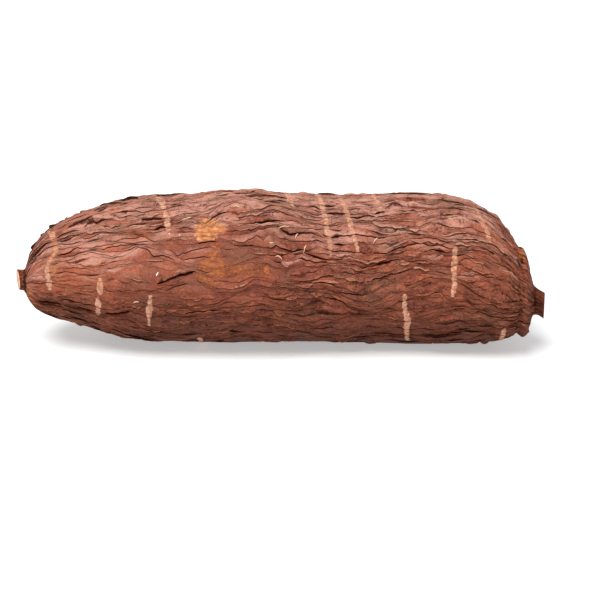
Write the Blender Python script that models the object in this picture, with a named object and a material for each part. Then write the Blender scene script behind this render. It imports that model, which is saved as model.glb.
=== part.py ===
"""Whole cassava root lying on its side, as one solid with its bark plates in relief.

The root grew as one piece, so it is one object. It runs along X with the thin sawn end at -X and
the neck end at +X, it rests on Z = 0, and its origin is under the middle of its box.
Lengths are in metres. Run it with blender --background --python part.py, or from the text editor.
"""

import math

import bmesh
import bpy
import numpy as np
from mathutils import Vector, noise

MM = 0.001

# Driving sizes of the root
ROOT_LENGTH = 260 * MM
ROOT_RADIUS = 39.2 * MM

# The root's middle line and girth, from the thin end to the neck. Each row holds the share of the
# length, the sideways and upward place in millimetres, and the share of the full radius. Where
# the radius is more than the height, the root lies flat on what it rests on.
STATIONS = (
    (0.000, -9.0, 34.0, 0.124),  # sawn face of the thin end
    (0.012, -8.8, 33.6, 0.134),
    (0.018, -8.6, 33.9, 0.200),  # shoulder behind the stub
    (0.027, -8.0, 34.8, 0.325),
    (0.040, -7.2, 35.8, 0.434),
    (0.058, -6.0, 36.7, 0.524),
    (0.084, -4.6, 37.3, 0.608),
    (0.113, -3.4, 37.6, 0.680),
    (0.170, -2.0, 37.4, 0.814),
    (0.226, -1.0, 36.9, 0.912),
    (0.283, -0.4, 36.6, 0.942),
    (0.404, 0.0, 38.3, 1.000),
    (0.570, 0.0, 36.4, 0.950),
    (0.660, 0.0, 36.0, 0.938),  # shallow waist
    (0.740, 0.0, 36.7, 0.955),
    (0.818, -0.8, 36.7, 0.938),
    (0.852, -2.4, 36.4, 0.905),
    (0.880, -4.4, 35.6, 0.855),
    (0.908, -7.0, 34.0, 0.786),
    (0.937, -10.5, 31.5, 0.645),
    (0.949, -12.3, 30.2, 0.548),  # crease before the collar
    (0.957, -13.4, 29.3, 0.562),
    (0.963, -14.4, 28.5, 0.516),
    (0.968, -15.2, 27.8, 0.396),
    (0.973, -15.9, 27.1, 0.270),
    (0.979, -16.6, 26.3, 0.186),  # root of the neck
    (0.986, -17.2, 25.5, 0.164),
    (1.000, -18.5, 23.6, 0.156),  # sawn face of the neck
)
LINE_SAMPLES = 1200
THIN_END_SLANT = math.radians(18)  # of the saw cut, about the vertical
NECK_END_SLANT = math.radians(8)

# Lumps of the cross-section, as shares of the radius
OVALNESS = 0.022
OVAL_TURN = 9  # radians by which the long axis turns from end to end
THREE_SIDED = 0.012
THREE_SIDED_START = 5
THREE_SIDED_TURN = 14

# Bark: crevices weave along the root and part the bark into long plates that end in points
CREVICES = 34
PLATE_LENGTH = 28 * MM
WEAVE = 0.42  # widest swing of a crevice to each side, as a share of the space between two
WEAVE_LENGTH = 24 * MM  # of a crevice's swings
WEAVE_GAIN = 2.4  # how often a crevice swings all the way
WANDER_LENGTH = 34 * MM  # of the slow waves that neighbouring crevices share
WANDER_REACH = 5.5 * MM
GROOVE = 0.15  # half the width of a crevice, as a share of the plate beside it
CREVICE_DEPTH = 1.3 * MM
USUAL_DEPTH = 0.45  # share of the depth that most of a crevice has
DEPTH_SWING = 2.0
SHALLOW = 0.10  # share of the depth that is left where a crevice fades out
EDGE_LIFT = 1.0 * MM  # how far a plate's edge curls up or down
LEVEL_LENGTH = 15 * MM  # of the changes in depth and lift along a plate
LEAST_RELIEF = 0.35  # share of the relief left on the thinnest stretch
FACE_RELIEF = 0.3  # share of the relief left on the rim of a sawn face
WEAVE_SHIFT = 0.2  # parts the noises of one crevice's weave, lift and level from its depth
LIFT_SHIFT = 0.4
LEVEL_SHIFT = 0.7
REST_FADE = 2.2 * MM  # height over which the relief is worn away near the resting spot

# Mesh of the skin: rings along the root, and three points round it for each crevice
RINGS = 55
AROUND = 3 * CREVICES
EVENNESS = 12 * MM  # a larger value spaces the rings more evenly between the ends and the middle

SHARP_EDGE = math.radians(38)
BARK_COLOUR = (0.23, 0.095, 0.055, 1.0)
BARK_ROUGHNESS = 0.85


def clear_scene():
    """Removes what an open file or the start-up scene holds."""
    for obj in list(bpy.data.objects):
        bpy.data.objects.remove(obj)


def middle_line():
    """Rows of x, y, z and radius along the root, as a smooth curve through the stations."""
    knots = np.array([
        (share * ROOT_LENGTH, side * MM, height * MM, girth * ROOT_RADIUS)
        for share, side, height, girth in STATIONS
    ])
    steps = np.linalg.norm(np.diff(knots, axis=0), axis=1)
    at = np.concatenate([[0.0], np.cumsum(steps)])
    chords = np.diff(knots, axis=0) / steps[:, None]
    slopes = np.vstack([chords[:1], (chords[:-1] + chords[1:]) / 2, chords[-1:]])
    places = np.linspace(0.0, at[-1], LINE_SAMPLES)
    left = np.clip(np.searchsorted(at, places, side="right") - 1, 0, len(steps) - 1)
    span = steps[left][:, None]
    t = ((places - at[left]) / steps[left])[:, None]
    return (
        (2 * t**3 - 3 * t**2 + 1) * knots[left]
        + (t**3 - 2 * t**2 + t) * span * slopes[left]
        + (3 * t**2 - 2 * t**3) * knots[left + 1]
        + (t**3 - t**2) * span * slopes[left + 1]
    )


def ring_rows(line):
    """The rings' rows of x, y, z and radius, closer together where the root is thin or steep, and
    how far along the skin each ring lies."""
    steps = np.linalg.norm(np.diff(line, axis=0), axis=1)
    along = np.concatenate([[0.0], np.cumsum(steps)])
    weight = steps / (EVENNESS + (line[1:, 3] + line[:-1, 3]) / 2)
    weighted = np.concatenate([[0.0], np.cumsum(weight)])
    wanted = np.linspace(0.0, weighted[-1], RINGS)
    rows = np.column_stack([np.interp(wanted, weighted, line[:, i]) for i in range(4)])
    return rows, np.interp(wanted, weighted, along)


def noise_value(along, number, size):
    """Smooth noise from -1 to 1 along the root, on its own for each crevice number."""
    return noise.noise(Vector((along / size, 7.7 * number + 0.5, 0.31 * number)))


def crevice_angles(along):
    """The angle round the root of each crevice at this place along the skin."""
    apart = 2 * math.pi / CREVICES
    angles = []
    for number in range(CREVICES):
        base = number * apart
        swing = WEAVE * math.tanh(WEAVE_GAIN * noise_value(along, number + WEAVE_SHIFT, WEAVE_LENGTH))
        drum = Vector((along, ROOT_RADIUS * math.cos(base), ROOT_RADIUS * math.sin(base)))
        wander = WANDER_REACH / ROOT_RADIUS * noise.noise(drum / WANDER_LENGTH)
        angles.append(base + swing * apart + wander)
    return angles


def bark_profile(along):
    """Angles and heights of the bark round one ring: for each plate the crevice beside it and its
    two edges."""
    crevices = crevice_angles(along)
    angles = []
    heights = []
    for number, start in enumerate(crevices):
        after = crevices[number + 1] if number + 1 < CREVICES else crevices[0] + 2 * math.pi
        width = after - start
        fullness = min(width * CREVICES / (2 * math.pi), 1.0)
        depth = min(1.0, USUAL_DEPTH + DEPTH_SWING * noise_value(along, number, LEVEL_LENGTH))
        lift = noise_value(along, number + LIFT_SHIFT, LEVEL_LENGTH)
        level = noise_value(along, number + LEVEL_SHIFT, PLATE_LENGTH)
        angles += [start, start + GROOVE * width, after - GROOVE * width]
        heights += [
            -CREVICE_DEPTH * max(depth, SHALLOW),
            EDGE_LIFT * fullness * (level + lift),
            EDGE_LIFT * fullness * (level - lift),
        ]
    return angles, heights


def skin_points():
    """The skin's points, ring after ring, with the lumps, the bark and the flat resting spot."""
    rows, along = ring_rows(middle_line())
    swell = np.gradient(rows[:, 3], rows[:, 0])
    points = []
    for ring, (x, y, z, radius) in enumerate(rows):
        share = x / ROOT_LENGTH
        at_face = ring in (0, RINGS - 1)
        slant = {0: THIN_END_SLANT, RINGS - 1: -NECK_END_SLANT}.get(ring, 0.0)
        relief = LEAST_RELIEF + (1 - LEAST_RELIEF) * radius / ROOT_RADIUS
        for angle, height in zip(*bark_profile(along[ring])):
            lump = (
                OVALNESS * math.cos(2 * angle + OVAL_TURN * share)
                + THREE_SIDED * math.cos(3 * angle + THREE_SIDED_START + THREE_SIDED_TURN * share)
            )
            outward = Vector((0.0, -math.sin(angle), math.cos(angle)))
            place = Vector((x, y, z)) + outward * radius * (1 + lump)
            pressed = math.exp(-((max(place.z, 0.0) / REST_FADE) ** 2))
            normal = (outward - Vector((swell[ring], 0.0, 0.0))).normalized()
            place += normal * height * relief * (1 - pressed) * (FACE_RELIEF if at_face else 1.0)
            place.x -= (place.y - y) * math.tan(slant)
            place.z = max(place.z, 0.0)
            points.append(place)
    return points


def bark_material():
    """Dull red-brown bark."""
    material = bpy.data.materials.new("cassava_bark")
    material.use_nodes = True
    shader = material.node_tree.nodes["Principled BSDF"]
    shader.inputs["Base Color"].default_value = BARK_COLOUR
    shader.inputs["Roughness"].default_value = BARK_ROUGHNESS
    shader.inputs["Metallic"].default_value = 0.0
    return material


def make_root():
    """The root as one closed mesh: rings of skin bridged to each other, with a flat sawn face at
    each end, moved so that its box is centred over the origin."""
    points = skin_points()
    low = Vector(min(p[i] for p in points) for i in range(3))
    high = Vector(max(p[i] for p in points) for i in range(3))
    centre = Vector(((low.x + high.x) / 2, (low.y + high.y) / 2, low.z))
    mesh = bpy.data.meshes.new("cassava_root")
    work = bmesh.new()
    verts = [work.verts.new(p - centre) for p in points]
    rings = [verts[i * AROUND:(i + 1) * AROUND] for i in range(RINGS)]
    for ring, following in zip(rings, rings[1:]):
        for step in range(AROUND):
            after = (step + 1) % AROUND
            work.faces.new((ring[step], ring[after], following[after], following[step]))
    work.faces.new(reversed(rings[0]))
    work.faces.new(rings[-1])
    bmesh.ops.recalc_face_normals(work, faces=work.faces)
    bmesh.ops.triangulate(work, faces=[f for f in work.faces if len(f.verts) > 4])
    work.to_mesh(mesh)
    work.free()
    mesh.shade_smooth()
    mesh.set_sharp_from_angle(angle=SHARP_EDGE)
    mesh.materials.append(bark_material())
    root = bpy.data.objects.new("cassava_root", mesh)
    bpy.context.scene.collection.objects.link(root)
    return root


clear_scene()
make_root()
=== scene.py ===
"""Dressed whole cassava root: flaking bark, corky scars, sawn ends, and the studio round it.

The root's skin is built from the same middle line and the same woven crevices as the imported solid,
with many more points, so it keeps the solid's form. Lengths are in metres unless a name says
millimetres.
"""

import logging
import math
import random
from dataclasses import dataclass
from enum import Enum, IntEnum

import bpy
import numpy as np
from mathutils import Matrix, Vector, noise


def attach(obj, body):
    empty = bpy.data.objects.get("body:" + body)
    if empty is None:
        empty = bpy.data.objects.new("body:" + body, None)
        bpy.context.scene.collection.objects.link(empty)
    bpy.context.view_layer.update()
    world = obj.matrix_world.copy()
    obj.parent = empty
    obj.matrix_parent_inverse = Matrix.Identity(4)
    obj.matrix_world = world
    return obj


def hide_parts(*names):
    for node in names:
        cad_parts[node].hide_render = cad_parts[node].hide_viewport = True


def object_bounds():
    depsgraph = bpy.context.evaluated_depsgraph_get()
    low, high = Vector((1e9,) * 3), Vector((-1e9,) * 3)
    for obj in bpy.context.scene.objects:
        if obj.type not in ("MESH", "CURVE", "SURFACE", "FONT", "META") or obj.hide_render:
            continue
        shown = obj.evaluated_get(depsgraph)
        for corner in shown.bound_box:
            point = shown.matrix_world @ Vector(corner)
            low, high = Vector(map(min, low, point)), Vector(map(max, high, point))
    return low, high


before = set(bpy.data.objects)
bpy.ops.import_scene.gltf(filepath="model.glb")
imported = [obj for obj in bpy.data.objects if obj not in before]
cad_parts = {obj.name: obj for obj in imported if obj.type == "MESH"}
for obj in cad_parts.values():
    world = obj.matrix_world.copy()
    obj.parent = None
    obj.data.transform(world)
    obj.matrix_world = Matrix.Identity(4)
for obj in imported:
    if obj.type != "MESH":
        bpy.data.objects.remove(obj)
CAD_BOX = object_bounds()

LOG = logging.getLogger("cassava")
MM = 0.001
TURN = 2 * math.pi  # radians
BODY = "root"
DEGREES = 360  # in a whole turn
NOISE_STEPS = (7.7, 0.31)  # from one separate noise to the next, as in the solid

Tree = bpy.types.NodeTree
Socket = bpy.types.NodeSocket
Paint = str | tuple[float, float, float, float] | Socket  # hex, linear or worked out by nodes


class PlateSide(Enum):
    """Which of the two plates beside a crevice."""

    BEFORE = -1
    AFTER = 1


class NoiseStart(IntEnum):
    """The number at which the noises of each use start."""

    RAG = 100
    FINE_RAG = 300
    FINEST_RAG = 400
    SWAY = 500
    FINE_LIFT = 700
    FINE_DEPTH = 900
    STRIP_TONE = 1100
    PLATE_TONE = 1300
    BREAK = 1500
    FINE_BREAK = 1700
    FLAKE_RAG = 2000
    FLAKE_NICK = 4000
    SPLIT_RAG = 5000
    FLAKE_LIFT = 6000


def linear(colour: str) -> tuple[float, float, float, float]:
    """Turns a colour into the renderer's own values.

    Args:
        colour: sRGB hex value, such as "#a0644b".

    Returns:
        Linear red, green and blue, and an alpha of one.
    """
    shares = [int(colour[i:i + 2], 16) / 255 for i in (1, 3, 5)]
    values = [s / 12.92 if s <= 0.04045 else ((s + 0.055) / 1.055) ** 2.4 for s in shares]
    return (values[0], values[1], values[2], 1.0)


def add_node(
    tree: Tree,
    kind: str,
    settings: dict[str, object] | None = None,
    inputs: dict[str | int, object] | None = None,
) -> bpy.types.Node:
    """Adds a node to a material.

    Args:
        tree: the material's node tree.
        kind: the shader node's type name, without what all of them start with.
        settings: the node's own properties and their values.
        inputs: for each input, by name or number, a value or the output socket to link to it.

    Returns:
        The new node.
    """
    node = tree.nodes.new("ShaderNode" + kind)
    for name, value in (settings or {}).items():
        setattr(node, name, value)
    for name, value in (inputs or {}).items():
        if isinstance(value, Socket):
            tree.links.new(value, node.inputs[name])
        else:
            node.inputs[name].default_value = value
    return node


def smooth_step(low: float, high: float, values: np.ndarray) -> np.ndarray:
    """Eases from 0 at low to 1 at high.

    Args:
        low: the value where the step starts.
        high: the value where it ends.
        values: the values to ease.

    Returns:
        The eased shares.
    """
    t = np.clip((values - low) / (high - low), 0.0, 1.0)
    return t * t * (3 - 2 * t)


def noise_along(along: np.ndarray, number: float, size: float) -> np.ndarray:
    """Smooth noise along the root, on its own for each number, as in the solid.

    Args:
        along: places along the skin.
        number: which of the many separate noises to read.
        size: the length of its bumps.

    Returns:
        Values from -1 to 1, one for each place.
    """
    row = NOISE_STEPS[0] * number + 0.5
    layer = NOISE_STEPS[1] * number
    return np.array([noise.noise(Vector((a / size, row, layer))) for a in along])


def noise_columns(along: np.ndarray, start: float, spots: range, size: float) -> np.ndarray:
    """Smooth noise along the root for many crevices.

    Args:
        along: places along the skin.
        start: the number of the first crevice's noise.
        spots: the crevices' own numbers, which are added to the start.
        size: the length of the noise's bumps.

    Returns:
        Values from -1 to 1, with one row for each place and one column for each crevice.
    """
    return np.column_stack([noise_along(along, start + spot, size) for spot in spots])


def noise_over(places: np.ndarray, size: float, shift: float = 0.0) -> np.ndarray:
    """Smooth noise in space.

    Args:
        places: rows of x, y and z.
        size: the size of its bumps.
        shift: moves the noise, to read another part of it.

    Returns:
        Values from -1 to 1, one for each row.
    """
    offset = Vector((shift, -shift, 2 * shift))
    return np.array([noise.noise(Vector(place) / size + offset) for place in places])


def within_half_turn(angles: np.ndarray, turn: float) -> np.ndarray:
    """Takes whole turns off angles, so that they lie within half a turn of nought.

    Args:
        angles: the angles.
        turn: a whole turn in their unit.

    Returns:
        The same angles, from minus half a turn to plus half a turn.
    """
    return (angles + turn / 2) % turn - turn / 2


def band(first: np.ndarray, second: np.ndarray, outward: int = 1) -> list[list[int]]:
    """Joins closed rings of points to the rings beside them with four-sided faces.

    Args:
        first: the point numbers of each ring, round the last axis.
        second: the point numbers of the rings beside them.
        outward: -1 turns the faces over.

    Returns:
        The faces' point numbers.
    """
    faces = np.stack([first, np.roll(first, -1, axis=-1), np.roll(second, -1, axis=-1), second], axis=-1)
    return faces.reshape(-1, 4)[:, ::outward].tolist()


def closed_tube(start: int, rings: int, around: int, outward: int = 1) -> list[list[int]]:
    """Joins rings of points that follow each other into a tube with a face at each end.

    Args:
        start: the number of the first point.
        rings: how many rings there are.
        around: how many points each ring has.
        outward: -1 turns the faces over.

    Returns:
        The faces' point numbers.
    """
    numbers = start + np.arange(rings * around).reshape(rings, around)
    ends = [numbers[0, ::-outward].tolist(), numbers[-1, ::outward].tolist()]
    return band(numbers[:-1], numbers[1:], outward) + ends


def add_object(name: str, points: np.ndarray, faces: list[list[int]]) -> bpy.types.Object:
    """Makes an object from points and faces.

    Args:
        name: the object's name.
        points: rows of x, y and z.
        faces: the faces' point numbers.

    Returns:
        The object, in the scene.
    """
    mesh = bpy.data.meshes.new(name)
    mesh.from_pydata(points.tolist(), [], faces)
    made = bpy.data.objects.new(name, mesh)
    bpy.context.scene.collection.objects.link(made)
    return made


def store(mesh: bpy.types.Mesh, name: str, values: np.ndarray) -> None:
    """Stores a number or a vector on each point of a mesh, for its finish to read.

    Args:
        mesh: the mesh.
        name: what the finish calls them.
        values: one number for each point, or a row of three.
    """
    kind, part = ("FLOAT", "value") if values.ndim == 1 else ("FLOAT_VECTOR", "vector")
    data = mesh.attributes.new(name, kind, "POINT").data
    data.foreach_set(part, values.astype(np.float32).reshape(-1))


@dataclass
class RootForm:
    """The smooth root under its bark: its middle line and girth, with the solid's own values.

    Each station holds the share of the length, the sideways and upward place in millimetres, and
    the share of the full radius.
    """

    length: float = 260 * MM
    radius: float = 39.2 * MM
    ovalness: float = 0.022
    oval_turn: float = 9.0
    three_sided: float = 0.012
    three_sided_start: float = 5.0
    three_sided_turn: float = 14.0
    thin_end_slant: float = math.radians(18)
    neck_end_slant: float = math.radians(8)
    evenness: float = 12 * MM
    samples: int = 1200
    stations: tuple[tuple[float, float, float, float], ...] = (
        (0.000, -9.0, 34.0, 0.124),
        (0.012, -8.8, 33.6, 0.134),
        (0.018, -8.6, 33.9, 0.200),
        (0.027, -8.0, 34.8, 0.325),
        (0.040, -7.2, 35.8, 0.434),
        (0.058, -6.0, 36.7, 0.524),
        (0.084, -4.6, 37.3, 0.608),
        (0.113, -3.4, 37.6, 0.680),
        (0.170, -2.0, 37.4, 0.814),
        (0.226, -1.0, 36.9, 0.912),
        (0.283, -0.4, 36.6, 0.942),
        (0.404, 0.0, 38.3, 1.000),
        (0.570, 0.0, 36.4, 0.950),
        (0.660, 0.0, 36.0, 0.938),
        (0.740, 0.0, 36.7, 0.955),
        (0.818, -0.8, 36.7, 0.938),
        (0.852, -2.4, 36.4, 0.905),
        (0.880, -4.4, 35.6, 0.855),
        (0.908, -7.0, 34.0, 0.786),
        (0.937, -10.5, 31.5, 0.645),
        (0.949, -12.3, 30.2, 0.548),
        (0.957, -13.4, 29.3, 0.562),
        (0.963, -14.4, 28.5, 0.516),
        (0.968, -15.2, 27.8, 0.396),
        (0.973, -15.9, 27.1, 0.270),
        (0.979, -16.6, 26.3, 0.186),
        (0.986, -17.2, 25.5, 0.164),
        (1.000, -18.5, 23.6, 0.156),
    )

    def middle_line(self) -> np.ndarray:
        """Runs a smooth curve through the stations.

        Returns:
            Rows of x, y, z and radius.
        """
        knots = np.array([
            (share * self.length, side * MM, height * MM, girth * self.radius)
            for share, side, height, girth in self.stations
        ])
        steps = np.linalg.norm(np.diff(knots, axis=0), axis=1)
        at = np.concatenate([[0.0], np.cumsum(steps)])
        chords = np.diff(knots, axis=0) / steps[:, None]
        slopes = np.vstack([chords[:1], (chords[:-1] + chords[1:]) / 2, chords[-1:]])
        places = np.linspace(0.0, at[-1], self.samples)
        left = np.clip(np.searchsorted(at, places, side="right") - 1, 0, len(steps) - 1)
        span = steps[left][:, None]
        t = ((places - at[left]) / steps[left])[:, None]
        return (
            (2 * t**3 - 3 * t**2 + 1) * knots[left]
            + (t**3 - 2 * t**2 + t) * span * slopes[left]
            + (3 * t**2 - 2 * t**3) * knots[left + 1]
            + (t**3 - t**2) * span * slopes[left + 1]
        )

    def rings(self, count: int) -> tuple[np.ndarray, np.ndarray]:
        """Spaces rings along the root, closer together where it is thin or steep.

        Args:
            count: how many rings.

        Returns:
            The rings' rows of x, y, z and radius, and how far along the skin each one lies.
        """
        line = self.middle_line()
        steps = np.linalg.norm(np.diff(line, axis=0), axis=1)
        along = np.concatenate([[0.0], np.cumsum(steps)])
        weight = steps / (self.evenness + (line[1:, 3] + line[:-1, 3]) / 2)
        weighted = np.concatenate([[0.0], np.cumsum(weight)])
        wanted = np.linspace(0.0, weighted[-1], count)
        rows = np.column_stack([np.interp(wanted, weighted, line[:, i]) for i in range(4)])
        return rows, np.interp(wanted, weighted, along)

    def lumps(self, share: np.ndarray, angle: np.ndarray) -> np.ndarray:
        """Gives how much the cross-section swells.

        Args:
            share: the share of the root's length.
            angle: the angle round the root.

        Returns:
            Shares of the radius to add.
        """
        oval = np.cos(2 * angle + self.oval_turn * share)
        three_sided = np.cos(3 * angle + self.three_sided_start + self.three_sided_turn * share)
        return self.ovalness * oval + self.three_sided * three_sided


@dataclass
class Crevices:
    """The lines that part the bark. The main ones are the solid's own, and two finer ones run
    between each pair of them."""

    count: int = 34
    plate_length: float = 28 * MM
    weave: float = 0.42
    weave_gain: float = 2.4
    weave_length: float = 24 * MM
    weave_shift: float = 0.2
    wander_length: float = 34 * MM
    wander_reach: float = 5.5 * MM
    depth: float = 1.3 * MM
    usual_depth: float = 0.45
    depth_swing: float = 2.0
    shallow: float = 0.10
    edge_lift: float = 1.0 * MM
    level_length: float = 15 * MM
    lift_shift: float = 0.4
    level_shift: float = 0.7
    half_width: float = 0.50 * MM
    widest_share: float = 0.42  # of the gap to the next crevice
    break_length: float = 4.5 * MM
    break_depth: float = 0.9

    # Rag of every crevice: where the noise starts, its size, and its share
    ragged: float = 1.5 * MM
    rag_limits: tuple[float, float] = (0.25, 1.2)
    rag_noises: tuple[tuple[NoiseStart, float, float], ...] = (
        (NoiseStart.RAG, 6.5 * MM, 1.0),
        (NoiseStart.FINE_RAG, 2.6 * MM, 0.42),
        (NoiseStart.FINEST_RAG, 1.4 * MM, 0.24),
    )

    # The finer crevices
    fine_weave: float = 0.15
    fine_length: float = 15 * MM
    fine_depth: float = 0.9 * MM
    fine_least_depth: float = 0.1 * MM
    fine_usual_depth: float = 0.10
    fine_depth_swing: float = 2.4
    fine_level_length: float = 7 * MM
    fine_break_depth: float = 1.2
    fine_break_length: float = 3.2 * MM
    fine_lift: float = 0.55 * MM
    fine_lift_length: float = 8 * MM
    fine_half_width: float = 0.30 * MM

    # What calm bark and the thin end take from depth and lift
    thin_from: tuple[float, float] = (0.85, 0.50)  # shares of the full radius
    thin_depth: float = 0.85
    thin_fine_depth: float = 0.85
    thin_fine_lift: float = 0.7
    calm_depth: float = 0.7
    calm_lift: float = 0.3
    calm_fine_depth: float = 0.5
    calm_fine_lift: float = 0.5

    # Crevices that stand open, with lengths along the root in millimetres
    split_approach: float = 11.0
    split_fade: float = 1.6
    split_depth: float = 1.5 * MM
    split_lip: float = 0.28 * MM
    split_rag: float = 0.45 * MM
    split_rag_length: float = 2.4 * MM
    split_least_radius: float = 10 * MM
    split_ends: float = 0.55  # share of the width at the ends, and what the middle adds to it
    split_swell: float = 0.45
    split_fullness: float = 0.6
    fully_open: float = 0.9  # opening in millimetres at which the edges lift all the way
    open_half: float = 0.6
    pushed_lines: float = 1.6  # how far a split moves its neighbours, in usual gaps
    pushed_shifts: float = 2.4  # and in lengths of its own shift

    # Easing of the crevices that the open ones moved aside
    held_from: float = 0.3  # opening in millimetres at which a crevice is held fast
    least_gap: float = 0.25  # share of the usual gap that neighbours keep
    split_room: float = 1.1  # share of an opening that is kept free beside it
    least_freedom: float = 0.2
    ease_rounds: int = 45

    def main_angles(self, along: np.ndarray, drum_radius: float) -> np.ndarray:
        """Finds the angle of each main crevice on each ring.

        Args:
            along: the rings' places along the skin.
            drum_radius: the root's full radius.

        Returns:
            One row for each ring and one column for each main crevice.
        """
        apart = TURN / self.count
        columns = []
        for number in range(self.count):
            base = number * apart
            sway = noise_along(along, number + self.weave_shift, self.weave_length)
            swing = self.weave * np.tanh(self.weave_gain * sway)
            drum = np.column_stack([
                along,
                np.full(len(along), drum_radius * math.cos(base)),
                np.full(len(along), drum_radius * math.sin(base)),
            ])
            wander = self.wander_reach / drum_radius * noise_over(drum, self.wander_length)
            columns.append(base + swing * apart + wander)
        return np.column_stack(columns)


@dataclass
class Relief:
    """The bark's relief, as arrays of one row for each ring and one column for each crevice.

    Lines are the crevices' angles, and widths the angles between the main crevices beside them.
    Depth is how far each bottom lies below the smooth root, before and after are the heights of
    the plate edges on its two sides, and half is half its width.
    """

    lines: np.ndarray
    widths: np.ndarray
    depth: np.ndarray
    before: np.ndarray
    after: np.ndarray
    half: np.ndarray


@dataclass(frozen=True)
class CalmBark:
    """The smooth bark on the front of the thin half, below the crown.

    The first field holds pairs of millimetres along the root and degrees from the top where the
    smooth bark starts. Each other pair is where a border starts and where it ends.
    """

    starts: tuple[tuple[float, float], ...] = ((12, 56), (30, 41))
    crown_border: tuple[float, float] = (-7, 7)
    low_border: tuple[float, float] = (104, 88)
    thin_end_border: tuple[float, float] = (4, 9)
    middle_border: tuple[float, float] = (140, 112)

    def share(self, x: np.ndarray, angle: np.ndarray) -> np.ndarray:
        """Tells how smooth the bark is.

        Args:
            x: millimetres along the root.
            angle: radians round it.

        Returns:
            1 where it is smooth and 0 elsewhere.
        """
        turned = np.degrees(angle) % DEGREES
        start = np.interp(x, *zip(*self.starts))
        round_it = smooth_step(*self.crown_border, turned - start) * smooth_step(*self.low_border, turned)
        return round_it * smooth_step(*self.thin_end_border, x) * smooth_step(*self.middle_border, x)


@dataclass(frozen=True)
class Collar:
    """The swollen bark round the neck, folded across the grain, in millimetres along the root."""

    start_border: tuple[float, float] = (236, 243)
    end_border: tuple[float, float] = (256, 251)
    fold_length: float = 2.3
    fold_waver: float = 1.6
    fold_share: float = 0.55
    fold_swing: float = 0.9
    fold_height: float = 0.26
    lump_height: float = 0.55
    # Painted shade in the folds' troughs: its strength, and the fold values over which it grows
    darkness: float = 0.75
    dark_from: tuple[float, float] = (-0.2, -0.8)

    def share(self, x: np.ndarray) -> np.ndarray:
        """Gives 1 on the collar and 0 away from it."""
        return smooth_step(*self.start_border, x) * smooth_step(*self.end_border, x)

    def folds(self, x: np.ndarray, lumps: np.ndarray, pits: np.ndarray) -> np.ndarray:
        """Draws the folds' waves.

        Args:
            x: millimetres along the root.
            lumps: broad noise that lets the folds waver.
            pits: fine noise that makes them uneven.

        Returns:
            The waves, from about -1 to 1.
        """
        wave = np.sin(TURN * (x + self.fold_waver * lumps) / self.fold_length)
        return wave * (self.fold_share + self.fold_swing * pits)


@dataclass(frozen=True)
class Crease:
    """A dark crease that runs all round the root, in millimetres along it."""

    place: float
    width: float
    darkness: float


# Each crease is painted as a band of shade round the root, with no groove in the mesh
CREASES = (
    Crease(4.1, 1.3, 1.3),  # behind the stub
    Crease(247.4, 1.2, 0.8),  # before the collar
    Crease(254.6, 1.3, 1.0),  # round the neck
)


@dataclass(frozen=True)
class Scar:
    """A band of pale cork that runs part of the way round the root.

    Places are in millimetres along the root from the thin end, and degrees round it from the top,
    towards the front. A stain of 1 turns the cork ochre.
    """

    start: float
    start_angle: float
    end: float
    end_angle: float
    width: float = 2.4
    stain: float = 0.0


@dataclass(frozen=True)
class Patch:
    """A place on the bark, in millimetres along the root and degrees round it from the top.

    The length and the width are in millimetres.
    """

    place: float
    angle: float
    length: float
    width: float


@dataclass(frozen=True)
class Rub(Patch):
    """A patch where the outer bark is rubbed off down to the ochre layer under it.

    A wear of 1 bares the ochre, and less leaves a thinner or thicker film of bark on it.
    """

    wear: float = 1.0


@dataclass(frozen=True)
class Tint(Patch):
    """A broad place where the bark is lighter, or darker where the shift is below nought."""

    shift: float = 0.0


@dataclass(frozen=True)
class Split:
    """A crevice that stands open along a path.

    The path's rows hold millimetres along the root and degrees round it. The width is the widest
    opening, in millimetres.
    """

    path: tuple[tuple[float, float], ...]
    width: float
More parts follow.
